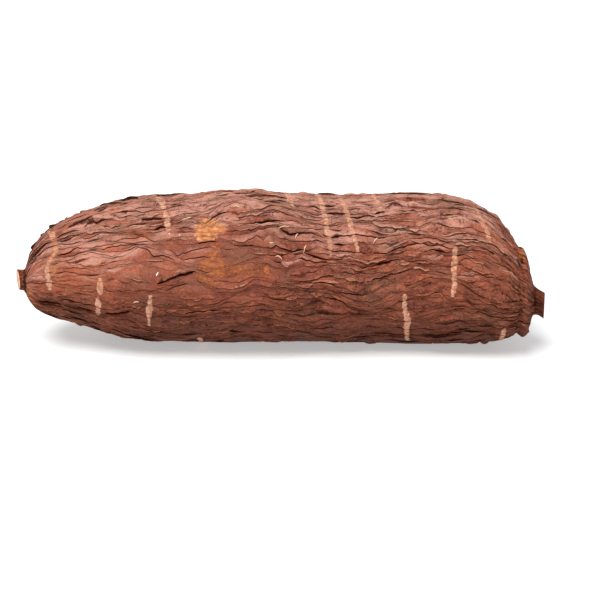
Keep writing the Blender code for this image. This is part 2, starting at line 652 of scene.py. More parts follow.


# Crevices that stand open, listed one by one: the width, then the path
SPLITS = tuple(Split(tuple(path), width) for width, *path in (
    (1.1, (9.8, 38), (12.5, 34), (16.8, 28)),
    (0.8, (9.5, 19), (12.5, 12), (15.2, 4)),
    (1.2, (5, 54), (7, 50), (9.6, 46)),
    (1.1, (20.6, 27), (24.5, 25.5), (29, 25), (33, 25)),
    (0.9, (22, 36.5), (25, 36), (30.5, 32)),
    (1.3, (26, 17), (30, 15), (35, 12), (38.5, 9)),
    (1.1, (35.5, 25), (40, 23.5), (45.5, 19.5)),
    (0.8, (22.5, 50.5), (28, 51), (33.3, 47.5)),
    (0.8, (33.6, 45), (36, 41), (40, 38), (43, 35), (47, 37)),
    (1, (40, 4), (45, 0)),
    (1.1, (15.5, -9), (23.5, -12)),
    (0.9, (51.5, 13), (56.5, 13)),
    (0.9, (51, -1), (56, -1)),
    (0.6, (45.5, 52.5), (49, 50.5), (54, 49.5), (59, 50), (65, 49.5)),
    (0.5, (35.5, 55.5), (40, 54.5), (44, 56), (50, 59.5)),
    (1.1, (11, 117), (17, 114), (22, 113)),
    (1, (26.5, 104.5), (31, 105.5)),
    (1.2, (31, 112), (39, 112)),
    (1.2, (45, 111), (51, 109), (58, 103)),
    (0.6, (8.5, 82), (12, 84.5), (16, 84)),
    (0.8, (69, 14), (74, 13.5), (79.5, 14)),
    (0.7, (75.5, 17), (80, 17), (86.5, 19.5)),
    (1.3, (62.5, 25), (67, 25.5), (73.5, 25.5)),
    (0.6, (59, 37), (64, 38), (68, 37)),
    (1.1, (69.5, 37), (72.5, 34.5), (75, 35.5)),
    (0.6, (79, 34), (85, 35), (90, 31)),
    (0.5, (60, 45), (63.5, 43), (67, 43.5), (70.5, 47)),
    (0.5, (56, 49), (60, 51.5), (66.5, 51.5)),
    (0.6, (77.5, 55), (84, 53.5), (88.5, 57), (97, 55.5)),
    (0.5, (61, 54.5), (65, 57), (70, 59.5), (79, 59.5)),
    (0.6, (83.5, 64), (88.5, 62.5), (93, 62), (97, 64)),
    (1.4, (72, 80), (75.5, 78), (78.5, 75.5), (82, 74), (89, 72.5)),
    (0.9, (94, 36.5), (97.5, 33), (100, 31), (105, 28)),
    (0.7, (91, 12.5), (97.5, 9.5)),
    (0.7, (92.5, 20), (99.5, 18.5), (105, 14), (110, 10)),
    (0.5, (94.5, 28), (100, 25), (104.5, 21.5), (109, 16.5)),
    (0.9, (97.5, -5), (103.5, -5)),
    (0.8, (91, 52), (99, 52)),
    (0.6, (84, -2), (92, 0), (100, 5), (109, 7)),
    (0.7, (108, 51.5), (111.5, 54), (115.5, 54), (120, 52.5), (125, 51)),
    (1.2, (114, 6.5), (118, 3.5), (123.5, 3), (129, 3)),
    (0.9, (126.5, 7), (130.5, 7.5), (134, 9.5)),
    (0.6, (117, 26.5), (121.5, 25), (125, 20), (129, 17)),
    (0.7, (129.2, 24), (132, 27), (134.5, 28)),
    (0.6, (132.5, 21.5), (139, 24)),
    (0.9, (116, 39), (122.5, 37), (126.5, 35), (131, 34)),
    (0.9, (120, 43), (125.5, 41), (129, 40), (131.5, 42.5), (135, 45), (141, 42.5), (146, 42)),
    (0.7, (136, 37.5), (141, 38.5), (146, 38), (150, 37)),
    (0.8, (139, 19), (143.5, 18.5), (147, 20.5), (150.5, 23.5)),
    (0.6, (143, 16.5), (145.5, 13.5), (149.5, 15)),
    (1, (151, 14.5), (154.5, 14.5), (157.5, 13.5)),
    (1.1, (152.5, 23), (157.5, 23.5), (162, 22.5)),
    (0.7, (145, 48.5), (148, 47), (151, 48.5), (153, 51)),
    (1, (154.5, 44), (159.5, 42.5)),
    (1, (155, 50), (161, 50)),
    (0.9, (142, 57.5), (146.5, 60), (150, 61.5), (154, 61.5)),
    (0.5, (125.5, 56), (128, 54), (132, 55.5), (137, 57)),
    (0.9, (136, 7), (141.5, 9.5)),
    (0.8, (163.5, 16), (168.5, 14.5), (172, 14)),
    (1, (163, 27), (168, 26.5), (171.5, 23.5), (174, 24.5), (177.5, 26.5)),
    (0.8, (171.8, 14), (174.5, 11.5), (176.5, 11)),
    (1.1, (179.5, 10), (183, 7.5), (187, 5.5)),
    (1, (180, 18), (183, 15), (186.5, 14.5), (190.5, 16.5)),
    (1, (176, 22.5), (178.5, 20.5), (181, 20)),
    (0.9, (190, 2), (195.5, 1.5)),
    (1, (198.5, 4.5), (202, 6)),
    (0.7, (177.5, -9), (185.5, -10)),
    (0.9, (214, 14.5), (219.5, 14.5)),
    (0.7, (220.5, 14), (225, 16)),
    (0.9, (223.5, 22.5), (226.5, 23.5)),
    (0.8, (163.5, -1), (172, -1)),
    (0.7, (163.5, 6), (172.5, 6)),
    (0.8, (234.5, -8), (239, -6)),
    (0.8, (205, 33), (212, 36)),
    (0.9, (190, 42), (199, 44)),
    (0.9, (203, 55), (210, 57)),
    (1, (176, 66), (184, 63)),
))

# Lighter and darker stretches. The last three are on the hidden sides.
TINTS = (
    Tint(82, 8, 44, 26, 0.1),
    Tint(70, 50, 44, 26, -0.6),
    Tint(114, 4, 50, 20, 0.9),
    Tint(40, 58, 46, 34, 1.3),
    Tint(10, 70, 20, 40, 1.4),
    Tint(122, 55, 42, 40, -1.2),
    Tint(198, 10, 38, 24, -1.5),
    Tint(160, 74, 60, 26, -1.0),
    Tint(98, 68, 26, 24, -1.3),
    Tint(226, 70, 40, 44, -0.4),
    Tint(76, 100, 60, 34, -0.8),
    Tint(60, 215, 54, 44, 1.1),
    Tint(128, 250, 50, 36, -1.1),
    Tint(186, 200, 56, 40, 0.9),
)

# The first four scars make up the ring near the thin end
SEEN_SCARS = (
    Scar(15.5, -8, 19.6, 27, 2.0, 0.3),
    Scar(19.6, 25, 21.4, 48, 2.6, 1.0),
    Scar(21.2, 45, 16.8, 63, 2.0, 0.8),
    Scar(17.4, 61, 18.2, 94, 2.2, 0.1),
    Scar(43.2, 78, 43.7, 92.5, 2.5),
    Scar(42.4, 96, 41.9, 115, 2.5),
    Scar(68.2, 89, 66.2, 119, 2.3),
    Scar(68.8, -16, 73.2, 12.5, 3.3),
    Scar(73.7, 15.5, 76.6, 38.5, 2.5),
    Scar(131.3, -22, 136.4, 19, 2.3),
    Scar(147.6, -16, 154.9, 60, 2.4),
    Scar(157.2, -18, 167.4, 56, 2.3, 0.3),
    Scar(174.6, -22, 179.3, 22, 2.2),
    Scar(226.0, 2, 230.6, 40, 2.0, 0.5),
)

# Scars of the same kind where the root is hidden
HIDDEN_SCARS = (
    Scar(34, 150, 36, 235, 2.5),
    Scar(58, 205, 61, 262, 2.4),
    Scar(90, 135, 92, 176, 2.6),
    Scar(104, 236, 107, 300, 2.6),
    Scar(139, 186, 142, 252, 2.5),
    Scar(171, 262, 168, 318, 2.7),
    Scar(190, 88, 193, 142, 2.5),
    Scar(205, 214, 208, 286, 2.5),
    Scar(214, 52, 213, 92, 2.4),
    Scar(238, 120, 240, 190, 2.3),
)

# The last three are on the hidden sides
RUBS = (
    Rub(95.2, 42.5, 13, 13),
    Rub(102, 43, 7, 4, 0.9),
    Rub(98.5, 60, 8, 8, 0.62),
    Rub(97.5, 73, 15, 15, 0.68),
    Rub(117, 72, 32, 9, 0.5),
    Rub(7, 100, 5, 4, 0.8),
    Rub(20.3, 68, 4, 4, 0.8),
    Rub(2.4, 80, 3, 4, 0.65),
    Rub(247.5, 12, 4, 14, 0.8),
    Rub(70, 248, 13, 9, 0.7),
    Rub(185, 228, 16, 12),
    Rub(150, 155, 12, 9, 0.6),
)


@dataclass(frozen=True)
class BoxFit:
    """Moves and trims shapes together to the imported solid's box."""

    low: tuple[float, float, float]
    scale: tuple[float, float, float]

    @classmethod
    def around(cls, clouds: list[np.ndarray]) -> "BoxFit":
        """Finds the move that brings all the points into the solid's box.

        Args:
            clouds: arrays of points that are moved together.

        Returns:
            The move.
        """
        points = np.vstack([cloud.reshape(-1, 3) for cloud in clouds])
        low = points.min(axis=0)
        size = points.max(axis=0) - low
        solid = np.array(CAD_BOX[1]) - np.array(CAD_BOX[0])
        LOG.info("shapes %s mm, solid %s mm", np.round(size / MM, 2), np.round(solid / MM, 2))
        return cls(tuple(low), tuple(solid / size))

    def apply(self, points: np.ndarray) -> np.ndarray:
        """Moves points to the frame's place."""
        return np.array(CAD_BOX[0]) + (points - np.array(self.low)) * np.array(self.scale)


class RootSkin:
    """The root's whole outside, as one closed mesh."""

    NAME = "root_skin"
    RINGS = 318
    STRIPS = 3  # of bark between one main crevice and the next
    COLUMNS_PER_STRIP = 3
    BOTTOMS = slice(0, None, COLUMNS_PER_STRIP)
    EDGES_AFTER = slice(1, None, COLUMNS_PER_STRIP)
    EDGES_BEFORE = slice(2, None, COLUMNS_PER_STRIP)
    SHARP_EDGE = math.radians(52)

    # How the relief fades on the thin stretch and over the resting spot
    LEAST_RELIEF = 0.35
    REST_FADE = 2.2 * MM

    # The small swellings of the bark
    LUMP_SIZE = 9 * MM
    LUMP_HEIGHT = 0.22 * MM
    PIT_SIZE = 2.2 * MM
    PIT_HEIGHT = 0.10 * MM
    PIT_SHIFT = 3.7
    CREASE_SHADE = (0.42, 0.35)  # of the creases, and what the lumps add to it

    # Plate edges: the drop at which a crevice's dark colour and painted shade are full, and the steps at
    # which they are torn or hang over all the way
    DARK_DROP = 1.1 * MM
    HANGING_STEP = 1.2 * MM
    TORN_STEP = 0.8 * MM
    OVERHANG = 1.25
    LEAST_FULLNESS = 0.25
    LEAST_GIRTH = 0.45
    # Painted shade on the plate edges beside a wide open split, and the openings over which it grows
    DARK_BESIDE = 0.45
    DARK_BESIDE_FROM = (0.5, 1.0)  # opening in millimetres

    # Scars stand proud of the bark, and rubbed patches lie below it
    FAR = 9.0  # millimetres to a scar, or the like for a rubbed patch, where none is near
    RUB_REACH = 3.0  # farthest that is told apart, in shares of a rubbed patch
    RUB_EDGE = 1.6  # beyond this share of a patch, the wear field holds the scars' stain
    SCAR_BORDER = (0.5, -0.7)  # millimetres
    SCAR_FLATTENS = 0.75
    SCAR_CLOSES = 0.35  # share of a crevice's darkness
    SCAR_HEIGHT = 0.30 * MM
    SCAR_PITS = 0.12 * MM
    SCAR_WAVE = 0.9  # millimetres
    SCAR_WAVE_DEGREES = 6
    SCAR_SAMPLES = 60
    SCAR_ENDS = 0.45  # share of the width at the ends, and what the middle adds to it
    SCAR_SWELL = 0.55
    SCAR_FULLNESS = 0.4
    RUB_BORDER = (1.15, 0.8)
    RUB_FLATTENS = 0.6
    RUB_CLOSES = 0.5
    RUB_POWER = 2.5
    RUB_DEPTH = 0.25 * MM

    # Plates are lighter or darker one by one
    STRIP_TONE_LENGTH = 10 * MM
    PLATE_TONE_LENGTH = 16 * MM
    PLATE_TONE = 0.6

    # The sawn ends
    FACE_RINGS = (0.88, 0.66, 0.33)
    FACE_DEPTH = 0.15 * MM
    MIDDLE_DEPTH = 0.2 * MM
    SAW_MARK_SIZE = 1.3 * MM
    SAW_MARK_SHIFT = 5.0
    SAW_MARKS = 0.25  # millimetres
    SLANTED_RINGS = 8

    def __init__(self, form: RootForm, crevices: Crevices) -> None:
        """Keeps the form and the crevices that the skin is made from.

        Args:
            form: the smooth root.
            crevices: the lines that part its bark.
        """
        self.form = form
        self.crevices = crevices
        self.calm = CalmBark()
        self.collar = Collar()
        self.rows, self.along = form.rings(self.RINGS)
        self.x = self.rows[:, 0] / MM
        self.lines = crevices.count * self.STRIPS
        self.around = self.lines * self.COLUMNS_PER_STRIP
        self.points = np.zeros((self.RINGS, self.around, 3))
        self.normals = np.zeros((self.RINGS, self.around, 3))
        self.angles = np.zeros((self.RINGS, self.around))
        self.heights = np.zeros((self.RINGS, self.around))
        self.opened = np.zeros((self.RINGS, self.lines))
        self.fields: dict[str, np.ndarray] = {}

    def line_angles(self) -> tuple[np.ndarray, np.ndarray]:
        """Places the finer crevices between the main ones.

        Returns:
            The angle of every crevice on every ring, and the angle between the main crevices on
            both sides of it.
        """
        c = self.crevices
        main = c.main_angles(self.along, self.form.radius)
        width = np.column_stack([main[:, 1:], main[:, 0] + TURN]) - main
        lines = []
        for spot in range(self.lines):
            number, strip = divmod(spot, self.STRIPS)
            scale = np.clip(width[:, number] / (TURN / c.count), *c.rag_limits)
            rag = c.ragged / self.form.radius * scale
            jitter = rag * sum(
                part * noise_along(self.along, start + spot, size) for start, size, part in c.rag_noises
            )
            sway = np.tanh(c.weave_gain * noise_along(self.along, NoiseStart.SWAY + spot, c.fine_length))
            share = strip / self.STRIPS + c.fine_weave * sway if strip else 0.0
            lines.append(main[:, number] + share * width[:, number] + jitter)
        before = np.column_stack(lines)
        lines = self.ease_kinks(before, self.open_splits(before.copy()))
        return lines, np.repeat(width, self.STRIPS, axis=1)

    def ease_kinks(self, before: np.ndarray, lines: np.ndarray) -> np.ndarray:
        """Takes the kinks out of the crevices that were moved aside, and keeps all of them in order.

        Args:
            before: the angle of each crevice on each ring before any was moved.
            lines: the moved angles.

        Returns:
            The eased angles. A crevice that stands open stays where it is.
        """
        c = self.crevices
        held = np.clip(self.opened / c.held_from, 0.0, 1.0)
        free = 1.0 - held
        onward = np.roll(free, -1, axis=1)
        beside = np.maximum(self.opened, np.roll(self.opened, -1, axis=1)) * MM
        least = c.least_gap * TURN / lines.shape[1] + c.split_room * beside / self.rows[:, 3][:, None]
        for _ in range(c.ease_rounds):
            moved = lines - before
            padded = np.vstack([moved[:1], moved, moved[-1:]])
            eased = 0.25 * padded[:-2] + 0.5 * padded[1:-1] + 0.25 * padded[2:]
            lines = before + held * moved + free * eased
            gap = np.diff(np.column_stack([lines, lines[:, 0] + TURN]), axis=1)
            lack = np.maximum(least - gap, 0.0) / np.maximum(free + onward, c.least_freedom)
            lines = lines - lack * free + np.roll(lack * onward, 1, axis=1)
        return lines

    def open_splits(self, lines: np.ndarray) -> np.ndarray:
        """Draws a crevice onto the path of each split, and moves its neighbours aside.

        Args:
            lines: the angle of each crevice on each ring.

        Returns:
            The moved lines. How wide each stands open is kept in millimetres.
        """
        c = self.crevices
        x = self.x
        apart = TURN / lines.shape[1]
        for number, split in enumerate(sorted(SPLITS, key=lambda item: item.width)):
            places, angles = (np.array(values, dtype=float) for values in zip(*split.path))
            near = np.flatnonzero((x > places[0] - c.split_approach) & (x < places[-1] + c.split_approach))
            core = (x[near] >= places[0]) & (x[near] <= places[-1])
            radius = np.maximum(self.rows[near, 3], c.split_least_radius)
            rag = noise_along(self.along[near], NoiseStart.SPLIT_RAG + number, c.split_rag_length)
            target = np.radians(np.interp(x[near], places, angles))
            target += c.split_rag / radius * rag
            off = within_half_turn(target[:, None] - lines[near], TURN)
            taken = 2.0 * (self.opened[near[core]].max(axis=0) > 0)  # keeps splits off each other
            spot = int(np.argmin(np.abs(off[core]).mean(axis=0) + taken))
            beyond = np.maximum(places[0] - x[near], x[near] - places[-1])
            shift = off[:, spot] * smooth_step(c.split_approach, 0.0, beyond)
            away = within_half_turn(lines[near] - lines[near, spot][:, None], TURN)
            reach = np.maximum(c.pushed_lines * apart, c.pushed_shifts * np.abs(shift))[:, None]
            lines[near] += shift[:, None] * (0.5 + 0.5 * np.cos(math.pi * np.clip(away / reach, -1, 1)))
            share = np.clip((x[near] - places[0]) / (places[-1] - places[0]), 0.0, 1.0)
            arch = np.sin(math.pi * share) ** c.split_fullness
            wide = split.width * (c.split_ends + c.split_swell * arch)
            wide *= smooth_step(c.split_fade, 0.0, beyond)
            self.opened[near, spot] = np.maximum(self.opened[near, spot], wide)
        return lines

    def build_profile(self) -> dict[str, np.ndarray]:
        """Works out the angle, the height and the marks of every point of the bark.

        Returns:
            Arrays of one row for each ring and one column for each point round it.
        """
        c = self.crevices
        lines, widths = self.line_angles()
        bark = Relief(lines, widths, *(np.zeros(lines.shape) for _ in range(4)))
        small = self.rows[:, 3][:, None] / self.form.radius
        thin = smooth_step(*c.thin_from, small)
        self.shape_main(bark, thin)
        for strip in range(1, self.STRIPS):
            self.shape_finer(bark, thin, strip)
        share = np.clip(self.opened / c.fully_open, 0.0, 1.0)
        bark.before += c.split_lip * share
        bark.after += c.split_lip * share
        bark.depth = np.maximum(bark.depth, share * (c.split_depth - np.minimum(bark.before, bark.after)))
        bark.half = np.maximum(bark.half, c.open_half * self.opened * MM)
        return self.place_columns(bark, small)

    def shape_main(self, bark: Relief, thin: np.ndarray) -> None:
        """Gives the main crevices their depth and their plate edges, as the solid has them.

        Args:
            bark: the relief, changed in place.
            thin: 1 on the thin rings and 0 on the others.
        """
        c = self.crevices
        main = slice(0, None, self.STRIPS)
        numbers = range(c.count)
        lift = noise_columns(self.along, c.lift_shift, numbers, c.level_length)
        level = noise_columns(self.along, c.level_shift, numbers, c.plate_length)
        deep = c.usual_depth + c.depth_swing * noise_columns(self.along, 0, numbers, c.level_length)
        deep = deep + c.break_depth * noise_columns(self.along, NoiseStart.BREAK, numbers, c.break_length)
        full = np.clip(bark.widths[:, main] / (TURN / c.count), 0.0, 1.0)
        calm = self.calm.share(self.x[:, None], bark.lines[:, main])
        deep = np.clip(deep - c.calm_depth * calm, c.shallow, 1.0)
        held = 1 - c.calm_lift * calm
        bark.depth[:, main] = c.depth * np.maximum(deep, c.thin_depth * thin * (1 - calm))
        bark.after[:, main] = c.edge_lift * full * (level + lift * held)
        before = np.roll(level, 1, axis=1) - np.roll(lift, 1, axis=1) * held
        bark.before[:, main] = c.edge_lift * np.roll(full, 1, axis=1) * before
        bark.half[:, main] = c.half_width

    def shape_finer(self, bark: Relief, thin: np.ndarray, strip: int) -> None:
        """Gives one set of the finer crevices their depth and their plate edges.

        Args:
            bark: the relief, changed in place.
            thin: 1 on the thin rings and 0 on the others.
            strip: how many crevices each one is past a main crevice.
        """
        c = self.crevices
        main = slice(0, None, self.STRIPS)
        here = slice(strip, None, self.STRIPS)
        spots = range(strip, self.lines, self.STRIPS)
        share = strip / self.STRIPS
        base = bark.after[:, main] * (1 - share) + np.roll(bark.before[:, main], -1, axis=1) * share
        rise = c.fine_lift * noise_columns(self.along, NoiseStart.FINE_LIFT, spots, c.fine_lift_length)
        level = noise_columns(self.along, NoiseStart.FINE_DEPTH, spots, c.fine_level_length)
        breaks = noise_columns(self.along, NoiseStart.FINE_BREAK, spots, c.fine_break_length)
        calm = self.calm.share(self.x[:, None], bark.lines[:, here])
        deep = c.fine_usual_depth - c.calm_fine_depth * calm + c.fine_depth_swing * level
        deep = np.clip(deep + c.fine_break_depth * breaks, 0.0, 1.0) * (1 - c.thin_fine_depth * thin)
        rise *= (1 - c.calm_fine_lift * calm) * (1 - c.thin_fine_lift * thin)
        bark.after[:, here] = base + rise
        bark.before[:, here] = base - rise
        bark.depth[:, here] = np.maximum(c.fine_depth * deep - base, c.fine_least_depth - base)
        bark.half[:, here] = c.fine_half_width

    def place_columns(self, bark: Relief, small: np.ndarray) -> dict[str, np.ndarray]:
        """Gives each crevice three points across: its bottom, and the plate edges on both sides.

        Args:
            bark: the relief.
            small: the rings' shares of the full radius.

        Returns:
            Arrays named angle, height, crack_and_shade (the crevices' dark colour with painted shade), rim
            and grain.
        """
        c = self.crevices
        lines = bark.lines
        fullness = np.clip(bark.widths / (TURN / c.count), self.LEAST_FULLNESS, 1.0)
        # The crevices' darkness: their own dark colour, with painted shade that grows as the drop deepens
        drop = np.minimum(bark.before, bark.after) + bark.depth
        strength = np.clip(drop / self.DARK_DROP, 0.0, 1.0)
        step = bark.after - bark.before
        over = np.clip(np.abs(step) / self.HANGING_STEP, 0.0, 1.0)
        girth = self.form.radius * np.clip(small, self.LEAST_GIRTH, 1.0)
        gap = np.column_stack([np.diff(lines, axis=1), lines[:, 0] + TURN - lines[:, -1]]) * girth
        fullness = np.maximum(fullness, np.clip(self.opened / c.fully_open, 0.0, 1.0))
        reach_after = bark.half * fullness * (1 - self.OVERHANG * over * (step > 0))
        reach_before = bark.half * fullness * (1 - self.OVERHANG * over * (step < 0))
        reach_after = np.minimum(reach_after, c.widest_share * gap)
        reach_before = np.minimum(reach_before, c.widest_share * np.roll(gap, 1, axis=1))
        # Painted shade on the plate edges beside an open split
        beside = self.DARK_BESIDE * smooth_step(*self.DARK_BESIDE_FROM, self.opened)
        unwoven = np.arange(self.lines) * TURN / self.lines
        quarter = TURN / self.lines / 4
        torn_after = np.clip(step / self.TORN_STEP, 0.0, 1.0) * strength
        torn_before = np.clip(-step / self.TORN_STEP, 0.0, 1.0) * strength
        columns = {
            "angle": (lines, lines + reach_after / girth, lines - reach_before / girth),
            "height": (-bark.depth, bark.after, bark.before),
            "crack_and_shade": (strength, beside, beside),
            "rim": (np.zeros_like(step), torn_after, torn_before),
        }
        fields = {name: np.zeros((self.RINGS, self.around)) for name in (*columns, "grain")}
        for name, (bottoms, after, before) in columns.items():
            fields[name][:, self.BOTTOMS] = bottoms
            fields[name][:, self.EDGES_AFTER] = after
            fields[name][:, self.EDGES_BEFORE] = np.roll(before, -1, axis=1)
        fields["angle"][:, -1] += TURN
        fields["grain"][:, self.BOTTOMS] = unwoven
        fields["grain"][:, self.EDGES_AFTER] = unwoven + quarter
        fields["grain"][:, self.EDGES_BEFORE] = unwoven + 3 * quarter
        return fields

    def scar_field(self, angle: np.ndarray) -> tuple[np.ndarray, np.ndarray]:
        """Measures how far each point lies outside the nearest corky scar.

        Args:
            angle: the angle of each point round the root.

        Returns:
            Millimetres, below nought inside a scar, and the scar's stain.
        """
        radius = self.rows[:, 3][:, None] / MM
        turned = np.degrees(angle) % DEGREES
        nearest = np.full(angle.shape, self.FAR)
        stain = np.zeros(angle.shape)
        samples = np.linspace(0, 1, self.SCAR_SAMPLES)
        for index, scar in enumerate(SEEN_SCARS + HIDDEN_SCARS):
            middle = (scar.start_angle + scar.end_angle) / 2
            reach = (scar.end_angle - scar.start_angle) / 2
            off = within_half_turn(turned - middle, DEGREES)
            share = np.clip((off + reach) / (2 * reach), 0.0, 1.0)
            wave = np.array([
                noise.noise(Vector((s * reach / self.SCAR_WAVE_DEGREES, index * 3.1, 0.5))) for s in samples
            ])
            centre = scar.start + (scar.end - scar.start) * share
            centre = centre + self.SCAR_WAVE * np.interp(share, samples, wave)
            arch = np.sin(math.pi * np.clip(share, 0.02, 0.98)) ** self.SCAR_FULLNESS
            taper = self.SCAR_ENDS + self.SCAR_SWELL * arch
            beyond = np.maximum(np.abs(off) - reach, 0.0) * math.pi / 180 * radius
            aside = np.abs(self.x[:, None] - centre) - scar.width / 2 * taper
            apart = np.where(beyond > 0, np.hypot(beyond, np.maximum(aside, 0)), aside)
            stain = np.where(apart < nearest, scar.stain, stain)
            nearest = np.minimum(nearest, apart)
        return nearest, stain

    def from_patch(self, patch: Patch, angle: np.ndarray) -> tuple[np.ndarray, np.ndarray]:
        """Measures how far each point lies from a patch's middle, in shares of half its size.

        Args:
            patch: the patch.
            angle: the angle of each point round the root.

        Returns:
            The shares along the root and the shares round it.
        """
        radius = self.rows[:, 3][:, None] / MM
        turned = np.degrees(angle) % DEGREES
        off = within_half_turn(turned - patch.angle, DEGREES) * math.pi / 180 * radius
        return (self.x[:, None] - patch.place) / (patch.length / 2), off / (patch.width / 2)

    def rub_field(self, angle: np.ndarray) -> tuple[np.ndarray, np.ndarray]:
        """Measures how far each point lies outside the nearest rubbed patch.

        Args:
            angle: the angle of each point round the root.

        Returns:
            Shares of the patch's size, 1 at its edge and less inside, and the patch's wear.
        """
        nearest = np.full(angle.shape, self.RUB_REACH)
        wear = np.zeros(angle.shape)
        for rub in RUBS:
            apart = np.hypot(*self.from_patch(rub, angle))
            wear = np.where(apart < nearest, rub.wear, wear)
            nearest = np.minimum(nearest, apart)
        return nearest, wear

    def tint_field(self, angle: np.ndarray) -> np.ndarray:
        """Adds up how much lighter or darker the bark is.

        Args:
            angle: the angle of each point round the root.

        Returns:
            Shifts of the tone.
        """
        total = np.zeros(angle.shape)
        for tint in TINTS:
            lengthwise, across = self.from_patch(tint, angle)
            total += tint.shift * np.exp(-(lengthwise ** 2 + across ** 2))
        return total

    def shape(self) -> None:
        """Works out where every point of the skin lies, and the fields that its finish reads."""
        fields = self.build_profile()
        angle = fields["angle"]
        radius = self.rows[:, 3][:, None]
        x = self.x[:, None]
        drum = np.stack([
            np.repeat(self.along[:, None], angle.shape[1], axis=1),
            self.form.radius * np.cos(angle),
            self.form.radius * np.sin(angle),
        ], axis=-1).reshape(-1, 3)
        lumps = noise_over(drum, self.LUMP_SIZE).reshape(angle.shape)
        pits = noise_over(drum, self.PIT_SIZE, self.PIT_SHIFT).reshape(angle.shape)
        scar, stain = self.scar_field(angle)
        rub, wear = self.rub_field(angle)
        inside = smooth_step(*self.SCAR_BORDER, scar)
        worn = smooth_step(*self.RUB_BORDER, rub) * wear ** self.RUB_POWER
        collar = self.collar.share(x)
        fold = self.collar.folds(x, lumps, pits)
        height = fields["height"] * (1 - self.SCAR_FLATTENS * inside)
        height = height + self.LUMP_HEIGHT * lumps + self.PIT_HEIGHT * pits
        height += collar * MM * (self.collar.fold_height * fold + self.collar.lump_height * lumps)
        height += inside * (self.SCAR_HEIGHT + self.SCAR_PITS * pits)
        height = height * (1 - self.RUB_FLATTENS * worn) - self.RUB_DEPTH * worn
        height *= self.LEAST_RELIEF + (1 - self.LEAST_RELIEF) * radius / self.form.radius
        self.angles = angle
        self.heights = height
        self.lay_points(angle, height)
        # Painted shade in the collar's fold troughs and along the creases
        darkness = self.collar.darkness * collar * smooth_step(*self.collar.dark_from, fold)
        for crease in CREASES:
            off = (x - crease.place) / crease.width
            darkness = np.maximum(darkness, crease.darkness * np.exp(-off ** 2))
        darkness = darkness * (self.CREASE_SHADE[0] + self.CREASE_SHADE[1] * lumps)
        crack_and_shade = fields["crack_and_shade"] * (1 - self.SCAR_CLOSES * inside) * (1 - self.RUB_CLOSES * worn)
        self.fields = {
            "calm": self.calm.share(x, angle),
            "crack_and_shade": np.maximum(crack_and_shade, darkness),
            "rim": fields["rim"] * (1 - inside),
            "scar_mm": scar,
            "rub": rub,
            "wear": np.where(rub > self.RUB_EDGE, stain, wear),
            "grain": fields["grain"],
        }

    def lay_points(self, angle: np.ndarray, height: np.ndarray) -> None:
        """Lays the skin's points round the middle line, with the flat resting spot.

        Args:
            angle: the angle of each point round the root.
            height: how far it stands above the smooth root.
        """
        share = (self.rows[:, 0] / self.form.length)[:, None]
        swell = np.gradient(self.rows[:, 3], self.rows[:, 0])[:, None]
        outward = np.stack([np.zeros_like(angle), -np.sin(angle), np.cos(angle)], axis=-1)
        girth = self.rows[:, 3][:, None] * (1 + self.form.lumps(share, angle))
        points = self.rows[:, None, :3] + outward * girth[..., None]
        pressed = np.exp(-((np.maximum(points[..., 2], 0.0) / self.REST_FADE) ** 2))
        normal = outward - np.stack([swell + 0 * angle, 0 * angle, 0 * angle], axis=-1)
        normal /= np.linalg.norm(normal, axis=-1)[..., None]
        points = points + normal * (height * (1 - pressed))[..., None]
        points[..., 2] = np.maximum(points[..., 2], 0.0)
        self.slant_ends(points)
        self.points = points
        self.normals = normal

    def slant_ends(self, points: np.ndarray) -> None:
        """Leans the rings of both sawn ends, as the saw cut them.

        Args:
            points: the skin's points, changed in place.
        """
        for rank in range(self.SLANTED_RINGS):
            fade = 1 - rank / self.SLANTED_RINGS
            for ring, slant in ((rank, self.form.thin_end_slant), (-1 - rank, -self.form.neck_end_slant)):
                aside = points[ring, :, 1] - self.rows[ring, 1]
                points[ring, :, 0] -= aside * math.tan(slant) * fade

    def build(self, fit: BoxFit) -> bpy.types.Object:
        """Makes the mesh, with a sawn face at each end.

        Args:
            fit: moves the points to the frame's place.

        Returns:
            The skin's object.
        """
        self.points = fit.apply(self.points)
        around = self.around
        numbers = np.arange(self.RINGS * around).reshape(self.RINGS, around)
        turns = np.linspace(0.0, TURN, around, endpoint=False)
        rim = np.stack([np.ones(around), np.cos(turns), np.sin(turns)], axis=-1)
        clouds = [self.points.reshape(-1, 3)]
        saw = [np.tile(rim, (self.RINGS, 1))]
        faces = band(numbers[:-1], numbers[1:])
        bark_faces = len(faces)
        count = numbers.size
        for ring, outward in ((0, -1), (self.RINGS - 1, 1)):
            edge = self.points[ring]
            middle = edge.mean(axis=0)
            previous = numbers[ring]
            for share in self.FACE_RINGS:
                inner = middle + (edge - middle) * share
                rough = noise_over(inner, self.SAW_MARK_SIZE, self.SAW_MARK_SHIFT + ring)
                inner[:, 0] -= outward * (self.FACE_DEPTH + np.abs(rough * self.SAW_MARKS * MM))
                here = np.arange(count, count + around)
                faces += band(previous, here, outward)
                clouds.append(inner)
                saw.append(rim * [share, 1.0, 1.0])
                previous = here
                count += around
            fan = np.stack([previous, np.roll(previous, -1), np.full(around, count)], axis=-1)
            faces += fan[:, ::outward].tolist()
            clouds.append(middle[None, :] - [[outward * self.MIDDLE_DEPTH, 0.0, 0.0]])
            saw.append(np.zeros((1, 3)))
            count += 1
        skin = add_object(self.NAME, np.vstack(clouds), faces)
        mesh = skin.data
        self.write_fields(mesh)
        store(mesh, "saw", np.vstack(saw))
        mesh.shade_smooth()
        mesh.set_sharp_from_angle(angle=self.SHARP_EDGE)
        sawn = np.arange(len(faces)) >= bark_faces
        mesh.polygons.foreach_set("material_index", sawn.astype(np.int32))
        mesh.update()
        return skin

